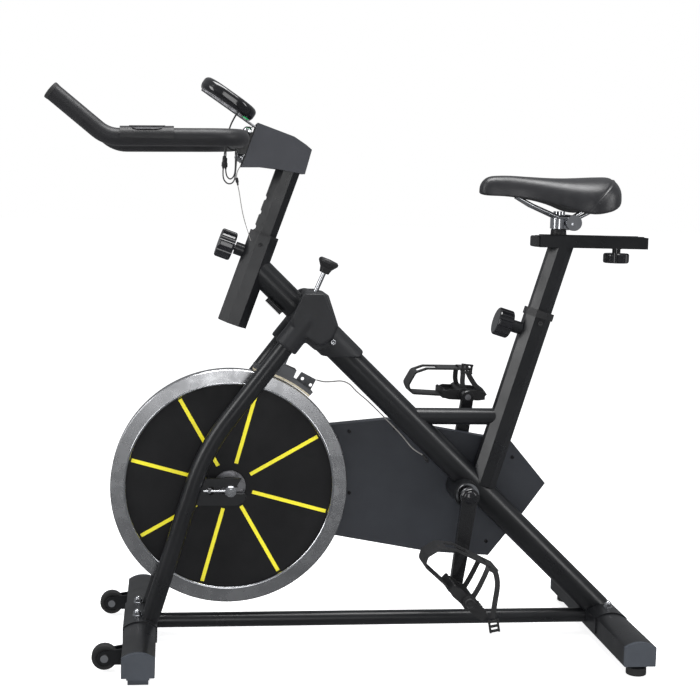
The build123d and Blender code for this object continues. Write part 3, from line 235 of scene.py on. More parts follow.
def smooth_path(points, steps):
    """A Catmull-Rom curve through given points."""
    padded = [points[0] * 2 - points[1], *points, points[-1] * 2 - points[-2]]
    path = []
    for index in range(1, len(padded) - 2):
        a, b, c, d = padded[index - 1:index + 3]
        for step in range(steps):
            t = step / steps
            path.append(0.5 * (2 * b + (c - a) * t + (2 * a - 5 * b + 4 * c - d) * t * t
                               + (3 * b - a - 3 * c + d) * t ** 3))
    path.append(points[-1].copy())
    return path


def ribbon(name, points, side, width, thick, material, body):
    """A flat strap along points. side is the direction of its width, or None for a strap whose flat
    faces the bike's sides."""
    path = smooth_path(points, RIBBON_STEPS)
    corners = []
    for index, point in enumerate(path):
        before = path[max(index - 1, 0)]
        after = path[min(index + 1, len(path) - 1)]
        along = (after - before).normalized()
        if side is None:
            across = along.cross(Vector((0, 1, 0))).normalized()
        else:
            across = Vector(side).normalized()
        normal = along.cross(across).normalized()
        for a, b in ((-1, -1), (-1, 1), (1, 1), (1, -1)):
            corners.append(point + across * a * width / 2 + normal * b * thick / 2)
    last = 4 * (len(path) - 1)
    faces = ring_faces(len(path), 4) + [(0, 3, 2, 1), (last, last + 1, last + 2, last + 3)]
    piece = link(name, make_mesh(name, corners, faces), material, body)
    bevel_edges(piece, thick * 0.3, segments=2)


# ---------------------------------------------------------------- materials
class Surface:
    """A node material on a Principled shader, with its colour and roughness varied over the surface."""

    def __init__(self, name, colour, roughness, metallic=0.0, coat=0.0, sheen=0.0, specular=0.5):
        self.material = bpy.data.materials.new(name)
        self.material.use_nodes = True
        self.tree = self.material.node_tree
        self.shader = self.tree.nodes["Principled BSDF"]
        self.colour = colour
        looks = {"Metallic": metallic, "Roughness": roughness, "Coat Weight": coat, "Coat Roughness": 0.12,
                 "Sheen Weight": sheen, "Specular IOR Level": specular, "Base Color": (*colour, 1)}
        for key, value in looks.items():
            self.shader.inputs[key].default_value = value
        self.place = self.node("ShaderNodeTexCoord").outputs["Object"]

    def node(self, kind, **settings):
        made = self.tree.nodes.new(kind)
        for key, value in settings.items():
            if key in made.inputs:
                made.inputs[key].default_value = value
            else:
                setattr(made, key, value)
        return made

    def join(self, source, target):
        self.tree.links.new(source, target)

    def noise(self, scale, detail):
        made = self.node("ShaderNodeTexNoise", Scale=scale, Detail=detail, Roughness=0.55)
        self.join(self.place, made.inputs["Vector"])
        return made.outputs["Fac"]

    def cells(self, scale, feature="DISTANCE_TO_EDGE"):
        made = self.node("ShaderNodeTexVoronoi", feature=feature, Scale=scale)
        self.join(self.place, made.inputs["Vector"])
        return made.outputs["Distance"]

    def spread(self, value, low, high):
        """Maps the middle of a 0 to 1 value onto a range."""
        settings = {"From Min": 0.3, "From Max": 0.7, "To Min": low, "To Max": high}
        made = self.node("ShaderNodeMapRange", **settings)
        self.join(value, made.inputs["Value"])
        return made.outputs["Result"]

    def blend(self, amount, first, second):
        """Mixes two colours, or two colour outputs, by an amount."""
        made = self.node("ShaderNodeMix", data_type="RGBA")
        self.join(amount, made.inputs["Factor"])
        for socket, value in (("A", first), ("B", second)):
            target = [s for s in made.inputs if s.name == socket and s.type == "RGBA"][0]
            if isinstance(value, tuple):
                target.default_value = (*value, 1)
            else:
                self.join(value, target)
        return [s for s in made.outputs if s.type == "RGBA"][0]

    def drift(self, scale, detail, first, second):
        """A colour that wanders between two."""
        return self.blend(self.spread(self.noise(scale, detail), 0.0, 1.0), first, second)

    def vary(self, other, scale, rough):
        """Lets the colour drift towards another one, and the roughness over a range."""
        self.join(self.drift(scale, 4.0, self.colour, other), self.shader.inputs["Base Color"])
        fine = self.noise(scale * 3.1, 5.0)
        self.join(self.spread(fine, *rough), self.shader.inputs["Roughness"])

    def bump(self, height, strength, distance):
        """Adds a bump, on top of any earlier one."""
        made = self.node("ShaderNodeBump", Strength=strength, Distance=distance)
        self.join(height, made.inputs["Height"])
        normal = self.shader.inputs["Normal"]
        if normal.is_linked:
            self.join(normal.links[0].from_socket, made.inputs["Normal"])
        self.join(made.outputs["Normal"], normal)

    def from_axle(self):
        """Distance from the flywheel's axle."""
        moved = self.node("ShaderNodeVectorMath", operation="SUBTRACT")
        self.join(self.place, moved.inputs[0])
        moved.inputs[1].default_value = at(*AXLE)
        flat = self.node("ShaderNodeVectorMath", operation="MULTIPLY")
        self.join(moved.outputs["Vector"], flat.inputs[0])
        flat.inputs[1].default_value = (1, 0, 1)
        length = self.node("ShaderNodeVectorMath", operation="LENGTH")
        self.join(flat.outputs["Vector"], length.inputs[0])
        return length.outputs["Value"]

    def above(self, value, limit):
        """1 where a value is over a limit, and 0 elsewhere."""
        made = self.node("ShaderNodeMath", operation="GREATER_THAN")
        self.join(value, made.inputs[0])
        made.inputs[1].default_value = limit
        return made.outputs["Value"]


def plain(name, colour, other, scale, rough, grain, **look):
    """A surface that drifts between two colours, under a fine grain: its noise's scale and detail, and
    the bump's strength and depth."""
    s = Surface(name, colour, rough[0], **look)
    s.vary(other, scale, rough)
    s.bump(s.noise(*grain[:2]), *grain[2:])
    return s.material


def steel(name, colour, other):
    return plain(name, colour, other, 35.0, (0.22, 0.45), (800.0, 3.0, 0.12, 0.0002), metallic=1.0)


def coloured(name, colour, other, rough, coat=0.0):
    """Coloured plastic or lacquer."""
    return plain(name, colour, other, 45.0, rough, (700.0, 3.0, 0.08, 0.0002), coat=coat)


def satin_paint():
    """Powder coat: near black, with a fine orange peel."""
    s = Surface("satin_paint", (0.006, 0.0065, 0.0075), 0.32)
    s.vary((0.010, 0.0105, 0.012), scale=6.0, rough=(0.26, 0.36))
    s.bump(s.noise(620.0, 2.0), 0.10, 0.0003)
    s.bump(s.noise(60.0, 3.0), 0.05, 0.0006)
    return s.material


def moulded(name, colour, other, rough, grain, strength):
    """Moulded plastic with a fine spark-eroded grain."""
    s = Surface(name, colour, rough[0], specular=0.45)
    s.vary(other, scale=11.0, rough=rough)
    s.bump(s.cells(grain, "F1"), strength, 0.00025)
    s.bump(s.noise(30.0, 3.0), 0.05, 0.001)
    return s.material


def foam():
    """Closed-cell foam with a leathery skin."""
    s = Surface("foam", (0.009, 0.009, 0.0105), 0.5, sheen=0.04, specular=0.45)
    s.vary((0.013, 0.013, 0.015), scale=18.0, rough=(0.40, 0.52))
    s.bump(s.cells(950.0, "F1"), 0.16, 0.0003)
    s.bump(s.noise(140.0, 4.0), 0.12, 0.0008)
    return s.material


def leather():
    """Vinyl saddle cover: creased grain over soft foam."""
    s = Surface("leather", (0.011, 0.011, 0.013), 0.36, sheen=0.03, specular=0.6)
    s.vary((0.016, 0.016, 0.018), scale=14.0, rough=(0.30, 0.42))
    s.bump(s.cells(620.0), 0.30, 0.00035)
    s.bump(s.noise(1500.0, 4.0), 0.14, 0.0002)
    s.bump(s.noise(90.0, 3.0), 0.10, 0.0012)
    return s.material


def wheel_steel():
    """The flywheel: a turned bright rim around a dark disc, split by the distance from the axle."""
    s = Surface("wheel_steel", (0.2, 0.204, 0.215), 0.25, metallic=1.0, specular=0.35)
    radius = s.from_axle()
    rim = s.above(radius, (RIM_INNER - 0.5) * MM)
    grooves = s.node("ShaderNodeTexNoise", noise_dimensions="1D", Scale=1600.0, Detail=4.0)
    s.join(radius, grooves.inputs["W"])
    tarnish = s.drift(5.0, 6.0, (0.56, 0.565, 0.58), (0.44, 0.445, 0.46))
    disc = s.drift(9.0, 4.0, (0.004, 0.004, 0.005), (0.008, 0.008, 0.009))
    s.join(s.blend(rim, disc, tarnish), s.shader.inputs["Base Color"])
    s.join(rim, s.shader.inputs["Metallic"])
    worn = s.node("ShaderNodeMath", operation="ADD")
    s.join(s.spread(rim, 0.52, 0.26), worn.inputs[0])
    s.join(s.spread(s.noise(40.0, 5.0), -0.06, 0.06), worn.inputs[1])
    s.join(worn.outputs["Value"], s.shader.inputs["Roughness"])
    s.bump(grooves.outputs["Fac"], 0.04, 0.0001)
    return s.material


def brake_material():
    """The brake pad: cream felt next to the wheel, under a dark metal carrier."""
    s = Surface("brake_material", (0.05, 0.052, 0.056), 0.5)
    radius = s.from_axle()
    carrier = s.above(radius, (WHEEL_RADIUS + 6.5) * MM)
    felt = s.drift(700.0, 5.0, (0.62, 0.56, 0.42), (0.42, 0.37, 0.27))
    metal = s.drift(25.0, 4.0, (0.05, 0.052, 0.056), (0.085, 0.088, 0.095))
    s.join(s.blend(carrier, felt, metal), s.shader.inputs["Base Color"])
    s.join(s.spread(s.noise(60.0, 4.0), 0.42, 0.7), s.shader.inputs["Roughness"])
    s.bump(s.noise(900.0, 4.0), 0.3, 0.0004)
    return s.material


def screen_material():
    """A dim liquid crystal display, with the faint grid of its segments."""
    s = Surface("screen", (0.20, 0.23, 0.19), 0.25, coat=0.8)
    grid = s.node("ShaderNodeTexChecker", Scale=260.0)
    s.join(s.place, grid.inputs["Vector"])
    lines = s.blend(grid.outputs["Fac"], (0.20, 0.23, 0.19), (0.18, 0.21, 0.172))
    s.join(lines, s.shader.inputs["Base Color"])
    s.join(s.spread(s.noise(50.0, 3.0), 0.18, 0.28), s.shader.inputs["Roughness"])
    return s.material


PAINT = satin_paint()
GLOSS_PAINT = plain("gloss_paint", (0.008, 0.008, 0.009), (0.013, 0.013, 0.014), 14.0, (0.14, 0.26),
                    (300.0, 2.0, 0.06, 0.0003), coat=0.4)
COVER = moulded("cover_plastic", (0.026, 0.029, 0.037), (0.032, 0.036, 0.045), (0.42, 0.55), 1100.0, 0.22)
JOINT = moulded("joint_plastic", (0.011, 0.0115, 0.013), (0.015, 0.0155, 0.018), (0.40, 0.52), 1300.0, 0.25)
CAP = moulded("cap_plastic", (0.045, 0.052, 0.064), (0.056, 0.064, 0.078), (0.42, 0.56), 1300.0, 0.25)
BLACK = moulded("black_plastic", (0.012, 0.012, 0.013), (0.019, 0.019, 0.020), (0.36, 0.5), 1500.0, 0.25)
STEM = moulded("stem_plastic", (0.034, 0.036, 0.043), (0.040, 0.042, 0.050), (0.36, 0.46), 1600.0, 0.2)
STRAP = moulded("strap_plastic", (0.016, 0.016, 0.017), (0.024, 0.024, 0.025), (0.45, 0.6), 900.0, 0.3)
GLOSS = plain("gloss_plastic", (0.006, 0.006, 0.007), (0.010, 0.010, 0.012), 20.0, (0.07, 0.16),
              (900.0, 2.0, 0.02, 0.0001), coat=0.6)
RUBBER = plain("rubber", (0.014, 0.014, 0.0145), (0.028, 0.028, 0.028), 25.0, (0.55, 0.75),
               (1100.0, 4.0, 0.3, 0.0002), specular=0.35)
FOAM = foam()
LEATHER = leather()
CHROME = plain("chrome", (0.72, 0.73, 0.75), (0.62, 0.63, 0.66), 30.0, (0.07, 0.2),
               (500.0, 2.0, 0.03, 0.0002), metallic=1.0)
STEEL = steel("plain_steel", (0.36, 0.36, 0.38), (0.26, 0.26, 0.27))
DARK_STEEL = steel("dark_steel", (0.05, 0.05, 0.053), (0.03, 0.03, 0.031))
CHAIN = steel("chain_steel", (0.22, 0.20, 0.17), (0.12, 0.11, 0.10))
WHEEL = wheel_steel()
STRIPE = plain("stripe_paint", (0.90, 0.82, 0.012), (0.85, 0.74, 0.01), 60.0, (0.33, 0.5),
               (900.0, 3.0, 0.1, 0.0001))
BRAKE = brake_material()
ORANGE = coloured("orange_plastic", (0.80, 0.22, 0.015), (0.70, 0.16, 0.01), (0.25, 0.4), 0.3)
GREEN = coloured("green_lens", (0.04, 0.62, 0.20), (0.03, 0.48, 0.15), (0.15, 0.25), 0.5)
WIRE = coloured("wire_skin", (0.016, 0.016, 0.017), (0.026, 0.026, 0.027), (0.35, 0.5))
GREY_WIRE = coloured("grey_wire", (0.16, 0.155, 0.15), (0.22, 0.21, 0.20), (0.4, 0.55))
THREAD = coloured("thread", (0.05, 0.05, 0.053), (0.08, 0.08, 0.083), (0.6, 0.8))
SCREEN = screen_material()

NODE_MATERIALS = [
    (PAINT, "front_stabilizer rear_stabilizer foot_plates main_tube head_tube seat_tube cross_tube "
            "base_tube fork_blade_left fork_blade_right handlebar_post seat_post handlebar"),
    (STEEL, "console_bracket flywheel_hub pedal_spindles crank_spindle seat_slider flywheel_bearings"),
    (CAP, "stabilizer_end_caps"),
    (CHROME, "stabilizer_bolts axle_hardware brake_rod saddle_post saddle_rails "
             "bottom_bracket_bearings flywheel_axle"),
    (RUBBER, "transport_wheel_left transport_wheel_right levelling_foot_left levelling_foot_right"),
    (BLACK, "tube_collars pedal_left pedal_right brake_knob pulse_sensors"),
    (GLOSS, "head_knob seat_knob slider_knob console_case"),
    (STRAP, "toe_clip_left toe_clip_right"),
    (STEM, "stem_cover"),
    (JOINT, "joint_covers"),
    (COVER, "drive_cover_inner drive_cover_outer"),
    (DARK_STEEL, "cover_screws"),
    (WHEEL, "flywheel"),
    (CHAIN, "flywheel_sprocket chainring drive_chain"),
    (GLOSS_PAINT, "crank_arm_left crank_arm_right"),
    (FOAM, "handlebar_grips"),
    (ORANGE, "console_button"),
    (BRAKE, "brake_pad"),
    (LEATHER, "saddle"),
    (WIRE, "console_wire_left console_wire_right"),
    (GREY_WIRE, "speed_sensor_wire"),
]
MATERIAL_OF = {node: material for material, nodes in NODE_MATERIALS for node in nodes.split()}
for node_name, node_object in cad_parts.items():
    node_object.data.materials.clear()
    node_object.data.materials.append(MATERIAL_OF[node_name])


# ---------------------------------------------------------------- cords
def nurbs_curve(name, route):
    """A smooth curve along a route, and the route's points in metres."""
    curve = bpy.data.curves.new(name, "CURVE")
    curve.dimensions = "3D"
    curve.resolution_u = 12
    spline = curve.splines.new("NURBS")
    points = [at(*p) for p in route]
    spline.points.add(len(points) - 1)
    for target, point in zip(spline.points, points):
        target.co = (*point, 1.0)
    spline.order_u = 3
    spline.use_endpoint_u = True
    return curve, points


def cord_curve(name, route, material, body, node):
    """A free lead on its drawn route, which stands for the CAD tube."""
    curve, points = nurbs_curve(name, route)
    curve.bevel_depth = WIRE_DIAMETER / 2
    curve.bevel_resolution = 5
    curve.use_fill_caps = True
    curve.materials.append(material)
    piece = show(name, curve)
    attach(piece, body)
    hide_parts(node)


LEFT_LEAD = [(-216, -26, 997.9), (-225, -26, 983), (-232, -25, 964), (-236, -25, 943),
             (-239, -26, 921), (-240.5, -27, 899), (-241, -28, 886), (-239.5, -28.5, 876),
             (-233, -29, 869), (-225, -29.5, 869), (-219.5, -30, 876), (-218.2, -30, 887),
             (-217.3, -30, 902), (-216.3, -30, 919), (-216, -30, 934.6)]
RIGHT_LEAD = [(-216, 26, 997.9), (-224, 26.5, 984), (-230, 26, 966), (-233.5, 26, 945),
              (-234, 27, 923), (-234, 28, 902), (-233.5, 29, 890), (-231, 29.5, 881.5),
              (-225, 30, 877), (-219, 30.3, 881.5), (-216.3, 30.2, 890), (-215.7, 30, 906),
              (-216, 30, 921), (-216, 30, 934.6)]
SENSOR_LEAD = [(-58.5, -10, 505.5), (-46, -12, 502), (-29, -13, 503), (-11, -12, 505),
               (5, -10, 499), (18, -8, 484), (41, -6, 466), (71, -8, 437), (99, -6, 410),
               (116, -7, 391), (126, -9, 378), (139, -10, 368), (153, -11, 361), (159, -12, 351)]
cord_curve("lead_left", LEFT_LEAD, WIRE, "bars", "console_wire_left")
cord_curve("lead_right", RIGHT_LEAD, WIRE, "bars", "console_wire_right")
cord_curve("lead_sensor", SENSOR_LEAD, GREY_WIRE, "frame", "speed_sensor_wire")


def wire_plug(name, top, bottom, body):
    """A moulded in-line connector on a lead, with a collar and a tapered tail."""
    axis = bottom - top
    length = axis.length / MM
    profile = [(0.0, 0.0), (2.2, 0.0), (2.8, 1.5), (2.8, length * 0.45), (3.6, length * 0.48),
               (3.6, length * 0.8), (2.4, length * 0.84), (1.6, length), (0.0, length)]
    lathes(name, [(profile, top, axis)], BLACK, body, segments=16)


def tube_along(name, points, radius, material):
    """A round tube along points, as a mesh object."""
    sides = 10
    corners = []
    for index, point in enumerate(points):
        before = points[max(index - 1, 0)]
        after = points[min(index + 1, len(points) - 1)]
        first, second = basis(after - before)
        for step in range(sides):
            angle = 2 * math.pi * step / sides
            corners.append(point + (first * math.cos(angle) + second * math.sin(angle)) * radius)
    last = (len(points) - 1) * sides
    faces = ring_faces(len(points), sides)
    faces.append(tuple(range(sides)))
    faces.append(tuple(last + step for step in range(sides)))
    mesh = make_mesh(name, corners, faces)
    mesh.materials.append(material)
    shade_smooth(mesh)
    return show(name, mesh)


def spline_points(route):
    """Points along the smooth curve of a route."""
    curve, _ = nurbs_curve("route", route)
    holder = show("route", curve)
    bpy.context.view_layer.update()
    mesh = bpy.data.meshes.new_from_object(holder)
    found = [vertex.co.copy() for vertex in mesh.vertices]
    bpy.data.objects.remove(holder)
    bpy.data.curves.remove(curve)
    bpy.data.meshes.remove(mesh)
    return found


STEM_LEAD_DIAMETER = 1.5 * MM
STEM_LEAD = [(-206, -12, 905), (-213, -14, 896), (-216, -18, 884), (-214, -22, 870), (-210, -26, 852),
             (-207, -29, 832), (-203, -30, 812), (-197, -29, 792), (-191, -26, 776), (-188, -23.5, 766)]


def stem_lead():
    """The lead from the stem down to the head tube, and the plug on it, which rides on the bars."""
    points = spline_points(STEM_LEAD)
    piece = tube_along("lead_stem", points, STEM_LEAD_DIAMETER / 2, GREY_WIRE)
    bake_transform(piece)
    plug = [(0, 0), (2.4, 0), (2.8, 1.5), (2.8, 8), (2.0, 9), (1.4, 14), (0, 14)]
    top = at(-215.6, -19.2, 880)
    lathes("lead_plug_stem", [(plug, top, at(-211, -25, 857) - top)], BLACK, "bars", segments=14)


stem_lead()
wire_plug("lead_plug_left", at(-239, -26, 919), at(-240.6, -27.1, 896), "bars")
wire_plug("lead_plug_sensor", at(150, -11, 363), at(160.5, -12.2, 348), "frame")
wire_plug("lead_plug_right", at(-234, 27.1, 917), at(-234, 28.2, 896), "bars")


# ---------------------------------------------------------------- flywheel
STRIPES = 8                      # on each face of the disc
STRIPE_START = 30                # degrees, of the first one
STRIPE_MIDDLE = 117.5            # from the axle
STRIPE_SIZES = (146, 0.4, 7.0)


def flywheel_stripes():
    """The yellow stripes that run out from the hub on both faces of the disc."""
    blocks = []
    for side in (-1, 1):
        for index in range(STRIPES):
            angle = math.radians(STRIPE_START + 360 / STRIPES * index)
            along = Vector((math.cos(angle), 0, math.sin(angle)))
            middle = at(AXLE[0], side * (WEB_HALF + 0.15), AXLE[2]) + along * STRIPE_MIDDLE * MM
            blocks.append((middle, along, (0, 1, 0), STRIPE_SIZES))
    boxes("flywheel_stripes", blocks, STRIPE, "wheel", 0.1)


def rim_lips():
    """The bright turned lip where the rim meets the disc, on both faces."""
    turned = []
    for side in (-1, 1):
        origin = at(AXLE[0], side * RIM_HALF, AXLE[2])
        profile = [(RIM_INNER - 0.2, -7.9), (RIM_INNER - 2.4, -7.6), (RIM_INNER - 2.0, -1.0),
                   (RIM_INNER + 0.5, 0.25), (RIM_INNER + 2.4, 0.25), (RIM_INNER + 2.6, -0.4)]
        turned.append((profile, origin, (0, side, 0)))
    lathes("rim_lips", turned, CHROME, "wheel", segments=160)


flywheel_stripes()
rim_lips()


# ---------------------------------------------------------------- cranks and pedals
def crank_caps():
    """A domed cap over each end of the spindle."""
    profile = [(13.2, -2.0), (13.2, 1.2), (12.4, 2.6), (10.6, 3.6), (6.0, 4.8), (0.0, 5.2)]
    turned = []
    for side, face in ((-1, 80.5), (1, 87.0)):
        turned.append((profile, at(CRANK[0], side * face, CRANK[2]), (0, side, 0)))
    lathes("crank_caps", turned, GLOSS, "cranks", segments=48)


def pedal_point(side, x, y, z):
    """A point in a pedal's own frame: x rearward along it, y out from the clip's middle, z up."""
    lean = math.radians(CRANK_LEAN)
    reach = -side * CRANK_LENGTH
    tilt = math.radians(PEDAL_TILTS[side])
    centre_x = CRANK[0] - reach * math.sin(lean)
    centre_z = CRANK[2] - reach * math.cos(lean)
    out_x = x * math.cos(tilt) + z * math.sin(tilt)
    out_z = -x * math.sin(tilt) + z * math.cos(tilt)
    return at(centre_x + out_x, side * (PEDAL_MIDDLE + y), centre_z + out_z)


def pedal_axis(side, x, y, z):
    """A direction in a pedal's own frame."""
    return (pedal_point(side, x, y, z) - pedal_point(side, 0, 0, 0)).normalized()


# In these tables -1 is the left pedal and 1 the right one.
LOOP_TOPS = {-1: [(-14, 68), (-15, 74)], 1: [(-4, 45), (-5, 53)]}
TAILS = {-1: [(248, 186), (259, 178), (263.5, 154), (260, 122), (256.5, 92)],
         1: [(259, 509), (264, 498), (276, 480), (288, 470), (297, 458)]}
BUCKLES = {-1: (260, 78), 1: (258, 513)}
BUCKLE_LINES = {-1: (0.18, 0, -1), 1: (1, 0, -0.1)}
STRAP_WIDTH = 10 * MM
STRAP_THICK = 1.8 * MM
STRAP_OUT = 33.0                 # from the clip's middle to the free end, towards the rider's left
STUD_ROWS = (-40, 41)            # along the pedal
STUDS = 6                        # in a row
STUD_PITCH = 15.0
HUB_END = 203.0                  # the outer end of a pedal's barrel, from the bike's middle


def toe_straps(side, body, word):
    """The strap that loops over the clip, and its free end with the buckle."""
    (low_x, low_z), (top_x, top_z) = LOOP_TOPS[side]
    over = [(2, -36, 4), (-4, -36.5, low_z * 0.5), (low_x, -33, low_z), (top_x, -12, top_z),
            (top_x, 12, top_z), (low_x, 33, low_z), (-4, 36.5, low_z * 0.5), (2, 36, 4)]
    points = [pedal_point(side, *p) for p in over]
    ribbon("toe_strap_" + word, points, pedal_axis(side, 1, 0, 0), STRAP_WIDTH, STRAP_THICK, STRAP, body)
    y = side * PEDAL_MIDDLE - STRAP_OUT
    tail = [at(x, y, z) for x, z in TAILS[side]]
    buckle = at(BUCKLES[side][0], y, BUCKLES[side][1])
    along = Vector(BUCKLE_LINES[side])
    ribbon("toe_strap_end_" + word, tail, None, STRAP_WIDTH, STRAP_THICK, STRAP, body)
    across = along.cross(Vector((0, 1, 0))).normalized()
    blocks = []
    for offset in (-1, 0, 1):
        bar = buckle + along.normalized() * offset * 9 * MM
        blocks.append((bar, across, (0, 1, 0), (17, 4.6, 4.5)))
    for offset in (-1, 1):
        blocks.append((buckle + across * offset * 8 * MM, along, (0, 1, 0), (24, 6.4, 3.6)))
    boxes("toe_buckle_" + word, blocks, BLACK, body, 0.9)


def pedal_reflector(side, body, word):
    """The orange reflector in the pedal's rear end."""
    centre = pedal_point(side, 44.2, 0, -1.5)
    lens = (centre, (0, 1, 0), pedal_axis(side, 0, 0, 1), (46, 9, 2.6))
    boxes("pedal_reflector_" + word, [lens], ORANGE, body, 0.8)


def pedal_hub(side, body, word):
    """The ribbed dust cap at the outer end of a pedal's barrel."""
    profile = [(0.0, -6.0), (10.5, -6.0), (10.5, 0.5), (9.0, 1.8), (7.0, 1.8), (6.2, 0.6), (3.5, 0.9),
               (0.0, 1.4)]
    place = pedal_point(side, 0, 0, 0)
    place.y = side * HUB_END * MM
    lathes("pedal_hub_" + word, [(profile, place, (0, side, 0))], BLACK, body, 32)


def pedal_studs(side, body, word):
    """The row of grip studs along both edges of a pedal's tread."""
    stud = [(3.0, 0.0), (2.6, 1.4), (1.2, 2.2), (0.0, 2.4)]
    axis = pedal_axis(side, 0, 0, 1)
    turned = []
    for x in STUD_ROWS:
        for index in range(STUDS):
            turned.append((stud, pedal_point(side, x, STUD_PITCH * index - 38, 5.8), axis))
    lathes("pedal_studs_" + word, turned, BLACK, body, segments=10)


crank_caps()
for pedal_side, pedal_body, pedal_word in ((-1, "left_pedal", "left"), (1, "right_pedal", "right")):
    toe_straps(pedal_side, pedal_body, pedal_word)
    pedal_reflector(pedal_side, pedal_body, pedal_word)
    pedal_studs(pedal_side, pedal_body, pedal_word)
    pedal_hub(pedal_side, pedal_body, pedal_word)


# ---------------------------------------------------------------- stem, bar and console
BAR_HALF = 216.0                 # from the bike's middle to each arm of the bar
ACORN = [(0.0, -1.0), (9.0, -1.0), (9.0, 0.6), (7.6, 0.8), (7.4, 5.6), (6.6, 6.4), (6.2, 8.6), (4.9, 11.2),
         (2.6, 12.8), (0.0, 13.2)]


def stem_bolts():
    """Washers and domed nuts, two above the bar and two below it."""
    turned = []
    for x, z in ((-191.5, 965.5), (-205.5, 916.0)):
        for y in (-20, 20):
            turned.append((ACORN, at(x, y, z), (-0.94, 0, 0.34)))
    lathes("stem_bolts", turned, CHROME, "bars", segments=24)


def bar_plugs():
    """The moulded plug in each open end of the bar."""
    profile = [(15.6, -6.0), (15.8, -0.4), (14.6, 0.8), (11.0, 1.5), (4.0, 1.7), (0.0, 1.7)]
    turned = []
    for side in (-1, 1):
        turned.append((profile, at(-536, side * BAR_HALF, 1016.5), (-93.5, 0, 75)))
    lathes("bar_plugs", turned, RUBBER, "bars", segments=48)


BAR_REAR = (-216.0, 947.5)       # both ends of the line that the arms follow under the sensors
BAR_FRONT = (-442.5, 941.5)
PLATE_START = -346.0
PLATE_LENGTH = 60.0
PLATE_RADIUS = 19.05
PLATE_SPREAD = 52.0              # degrees to each side of the top
PLATE_ROWS = 10
PLATE_TURNS = 14


def pulse_plates():
    """The metal contact plate over the top of each pulse sensor."""
    rise = (BAR_FRONT[1] - BAR_REAR[1]) / (BAR_FRONT[0] - BAR_REAR[0])
    for side, word in ((-1, "left"), (1, "right")):
        points = []
        faces = []
        for row in range(PLATE_ROWS + 1):
            x = PLATE_START - PLATE_LENGTH * row / PLATE_ROWS
            z = BAR_REAR[1] + rise * (x - BAR_REAR[0])
            taper = PLATE_SPREAD * math.sqrt(max(0.05, 1 - (2 * row / PLATE_ROWS - 1) ** 6))
            for turn in range(PLATE_TURNS + 1):
                angle = math.radians(90 - taper + 2 * taper * turn / PLATE_TURNS)
                points.append(at(x, side * BAR_HALF + PLATE_RADIUS * math.cos(angle),
                                 z + PLATE_RADIUS * math.sin(angle)))
        for row in range(PLATE_ROWS):
            for turn in range(PLATE_TURNS):
                base = row * (PLATE_TURNS + 1) + turn
                faces.append((base, base + 1, base + PLATE_TURNS + 2, base + PLATE_TURNS + 1))
        piece = link("pulse_plate_" + word, make_mesh("pulse_plate", points, faces), DARK_STEEL, "bars")
        thicken(piece, 0.5 * MM, 1.0)


def console_point(along, across, up):
    """A point on the console: along runs down its face to the rider, up out of its face."""
    tilt = math.radians(CONSOLE_TILT)
    x = CONSOLE_CENTRE[0] + along * math.cos(tilt) + up * math.sin(tilt)
    z = CONSOLE_CENTRE[2] - along * math.sin(tilt) + up * math.cos(tilt)
    return at(x, across, z)


def console_trim():
    """The display window in its bezel, the button's ring, and a green lens under the rear edge."""
    middle = console_point(0, 0, 0)
    along = (console_point(1, 0, 0) - middle).normalized()
    up = (console_point(0, 0, 1) - middle).normalized()
    bezel = (console_point(-12, 0, CONSOLE_HALF_THICK), along, up, (50, 0.9, 74))
    window = (console_point(-12, 0, CONSOLE_HALF_THICK + 0.35), along, up, (38, 0.7, 60))
    boxes("console_bezel", [bezel], BLACK, "bars", 0.3)
    boxes("console_screen", [window], SCREEN, "bars", 0.2)
    ring = [(10.6, -0.3), (10.6, 0.5), (9.6, 0.6), (9.5, -0.2)]
    lathes("console_button_ring", [(ring, console_point(34, 0, CONSOLE_HALF_THICK), up)], CHROME, "bars")
    lens = [(7.0, -0.6), (6.6, 0.4), (4.0, 0.9), (0.0, 1.0)]
    lathes("console_lens", [(lens, console_point(44, -32, -CONSOLE_HALF_THICK), -up)], GREEN, "bars",
           segments=24)


stem_bolts()
bar_plugs()
pulse_plates()
console_trim()


# ---------------------------------------------------------------- joint cover
MAIN_AXIS = Vector((1, 0, -0.96)).normalized()
MAIN_START = (-90.0, 0.0, 633.4)
FORK_CROWN = (-81.3, 0.0, 625.1)
FORK_BEND = (-266.0, 0.0, 380.0)
FORK_Y = 48.0
CUT_MIDDLE = (40.0, 0.0, 501.0)  # a block that is cut away under the cover's rear end
CUT_SIZES = (180.0, 100.0, 200.0)
COVER_BODY = [(-112, 612), (-82, 675), (-44, 670), (-24, 612), (-40, 572), (-66, 566), (-106, 598)]
COVER_PANEL = [(-112, 626), (-108, 636), (-93, 668), (-86, 673), (-58, 673), (-51, 669), (-30, 614),
               (-31, 603), (-38, 590), (-52, 579), (-61, 578), (-72, 583), (-104, 606), (-111, 614)]


def prism(outline, y_start, y_end):
    """Points and faces of a side outline drawn out across the bike."""
    count = len(outline)
    points = [at(x, y, z) for y in (y_start, y_end) for x, z in outline]
    faces = [tuple(range(count)), tuple(range(count, 2 * count))]
    for index in range(count):
        other = (index + 1) % count
        faces.append((index, other, count + other, count + index))
    return points, faces


def voxel_mesh(piece, name, size):
    modifier = piece.modifiers.new(name, "REMESH")
    modifier.mode = "VOXEL"
    modifier.voxel_size = size


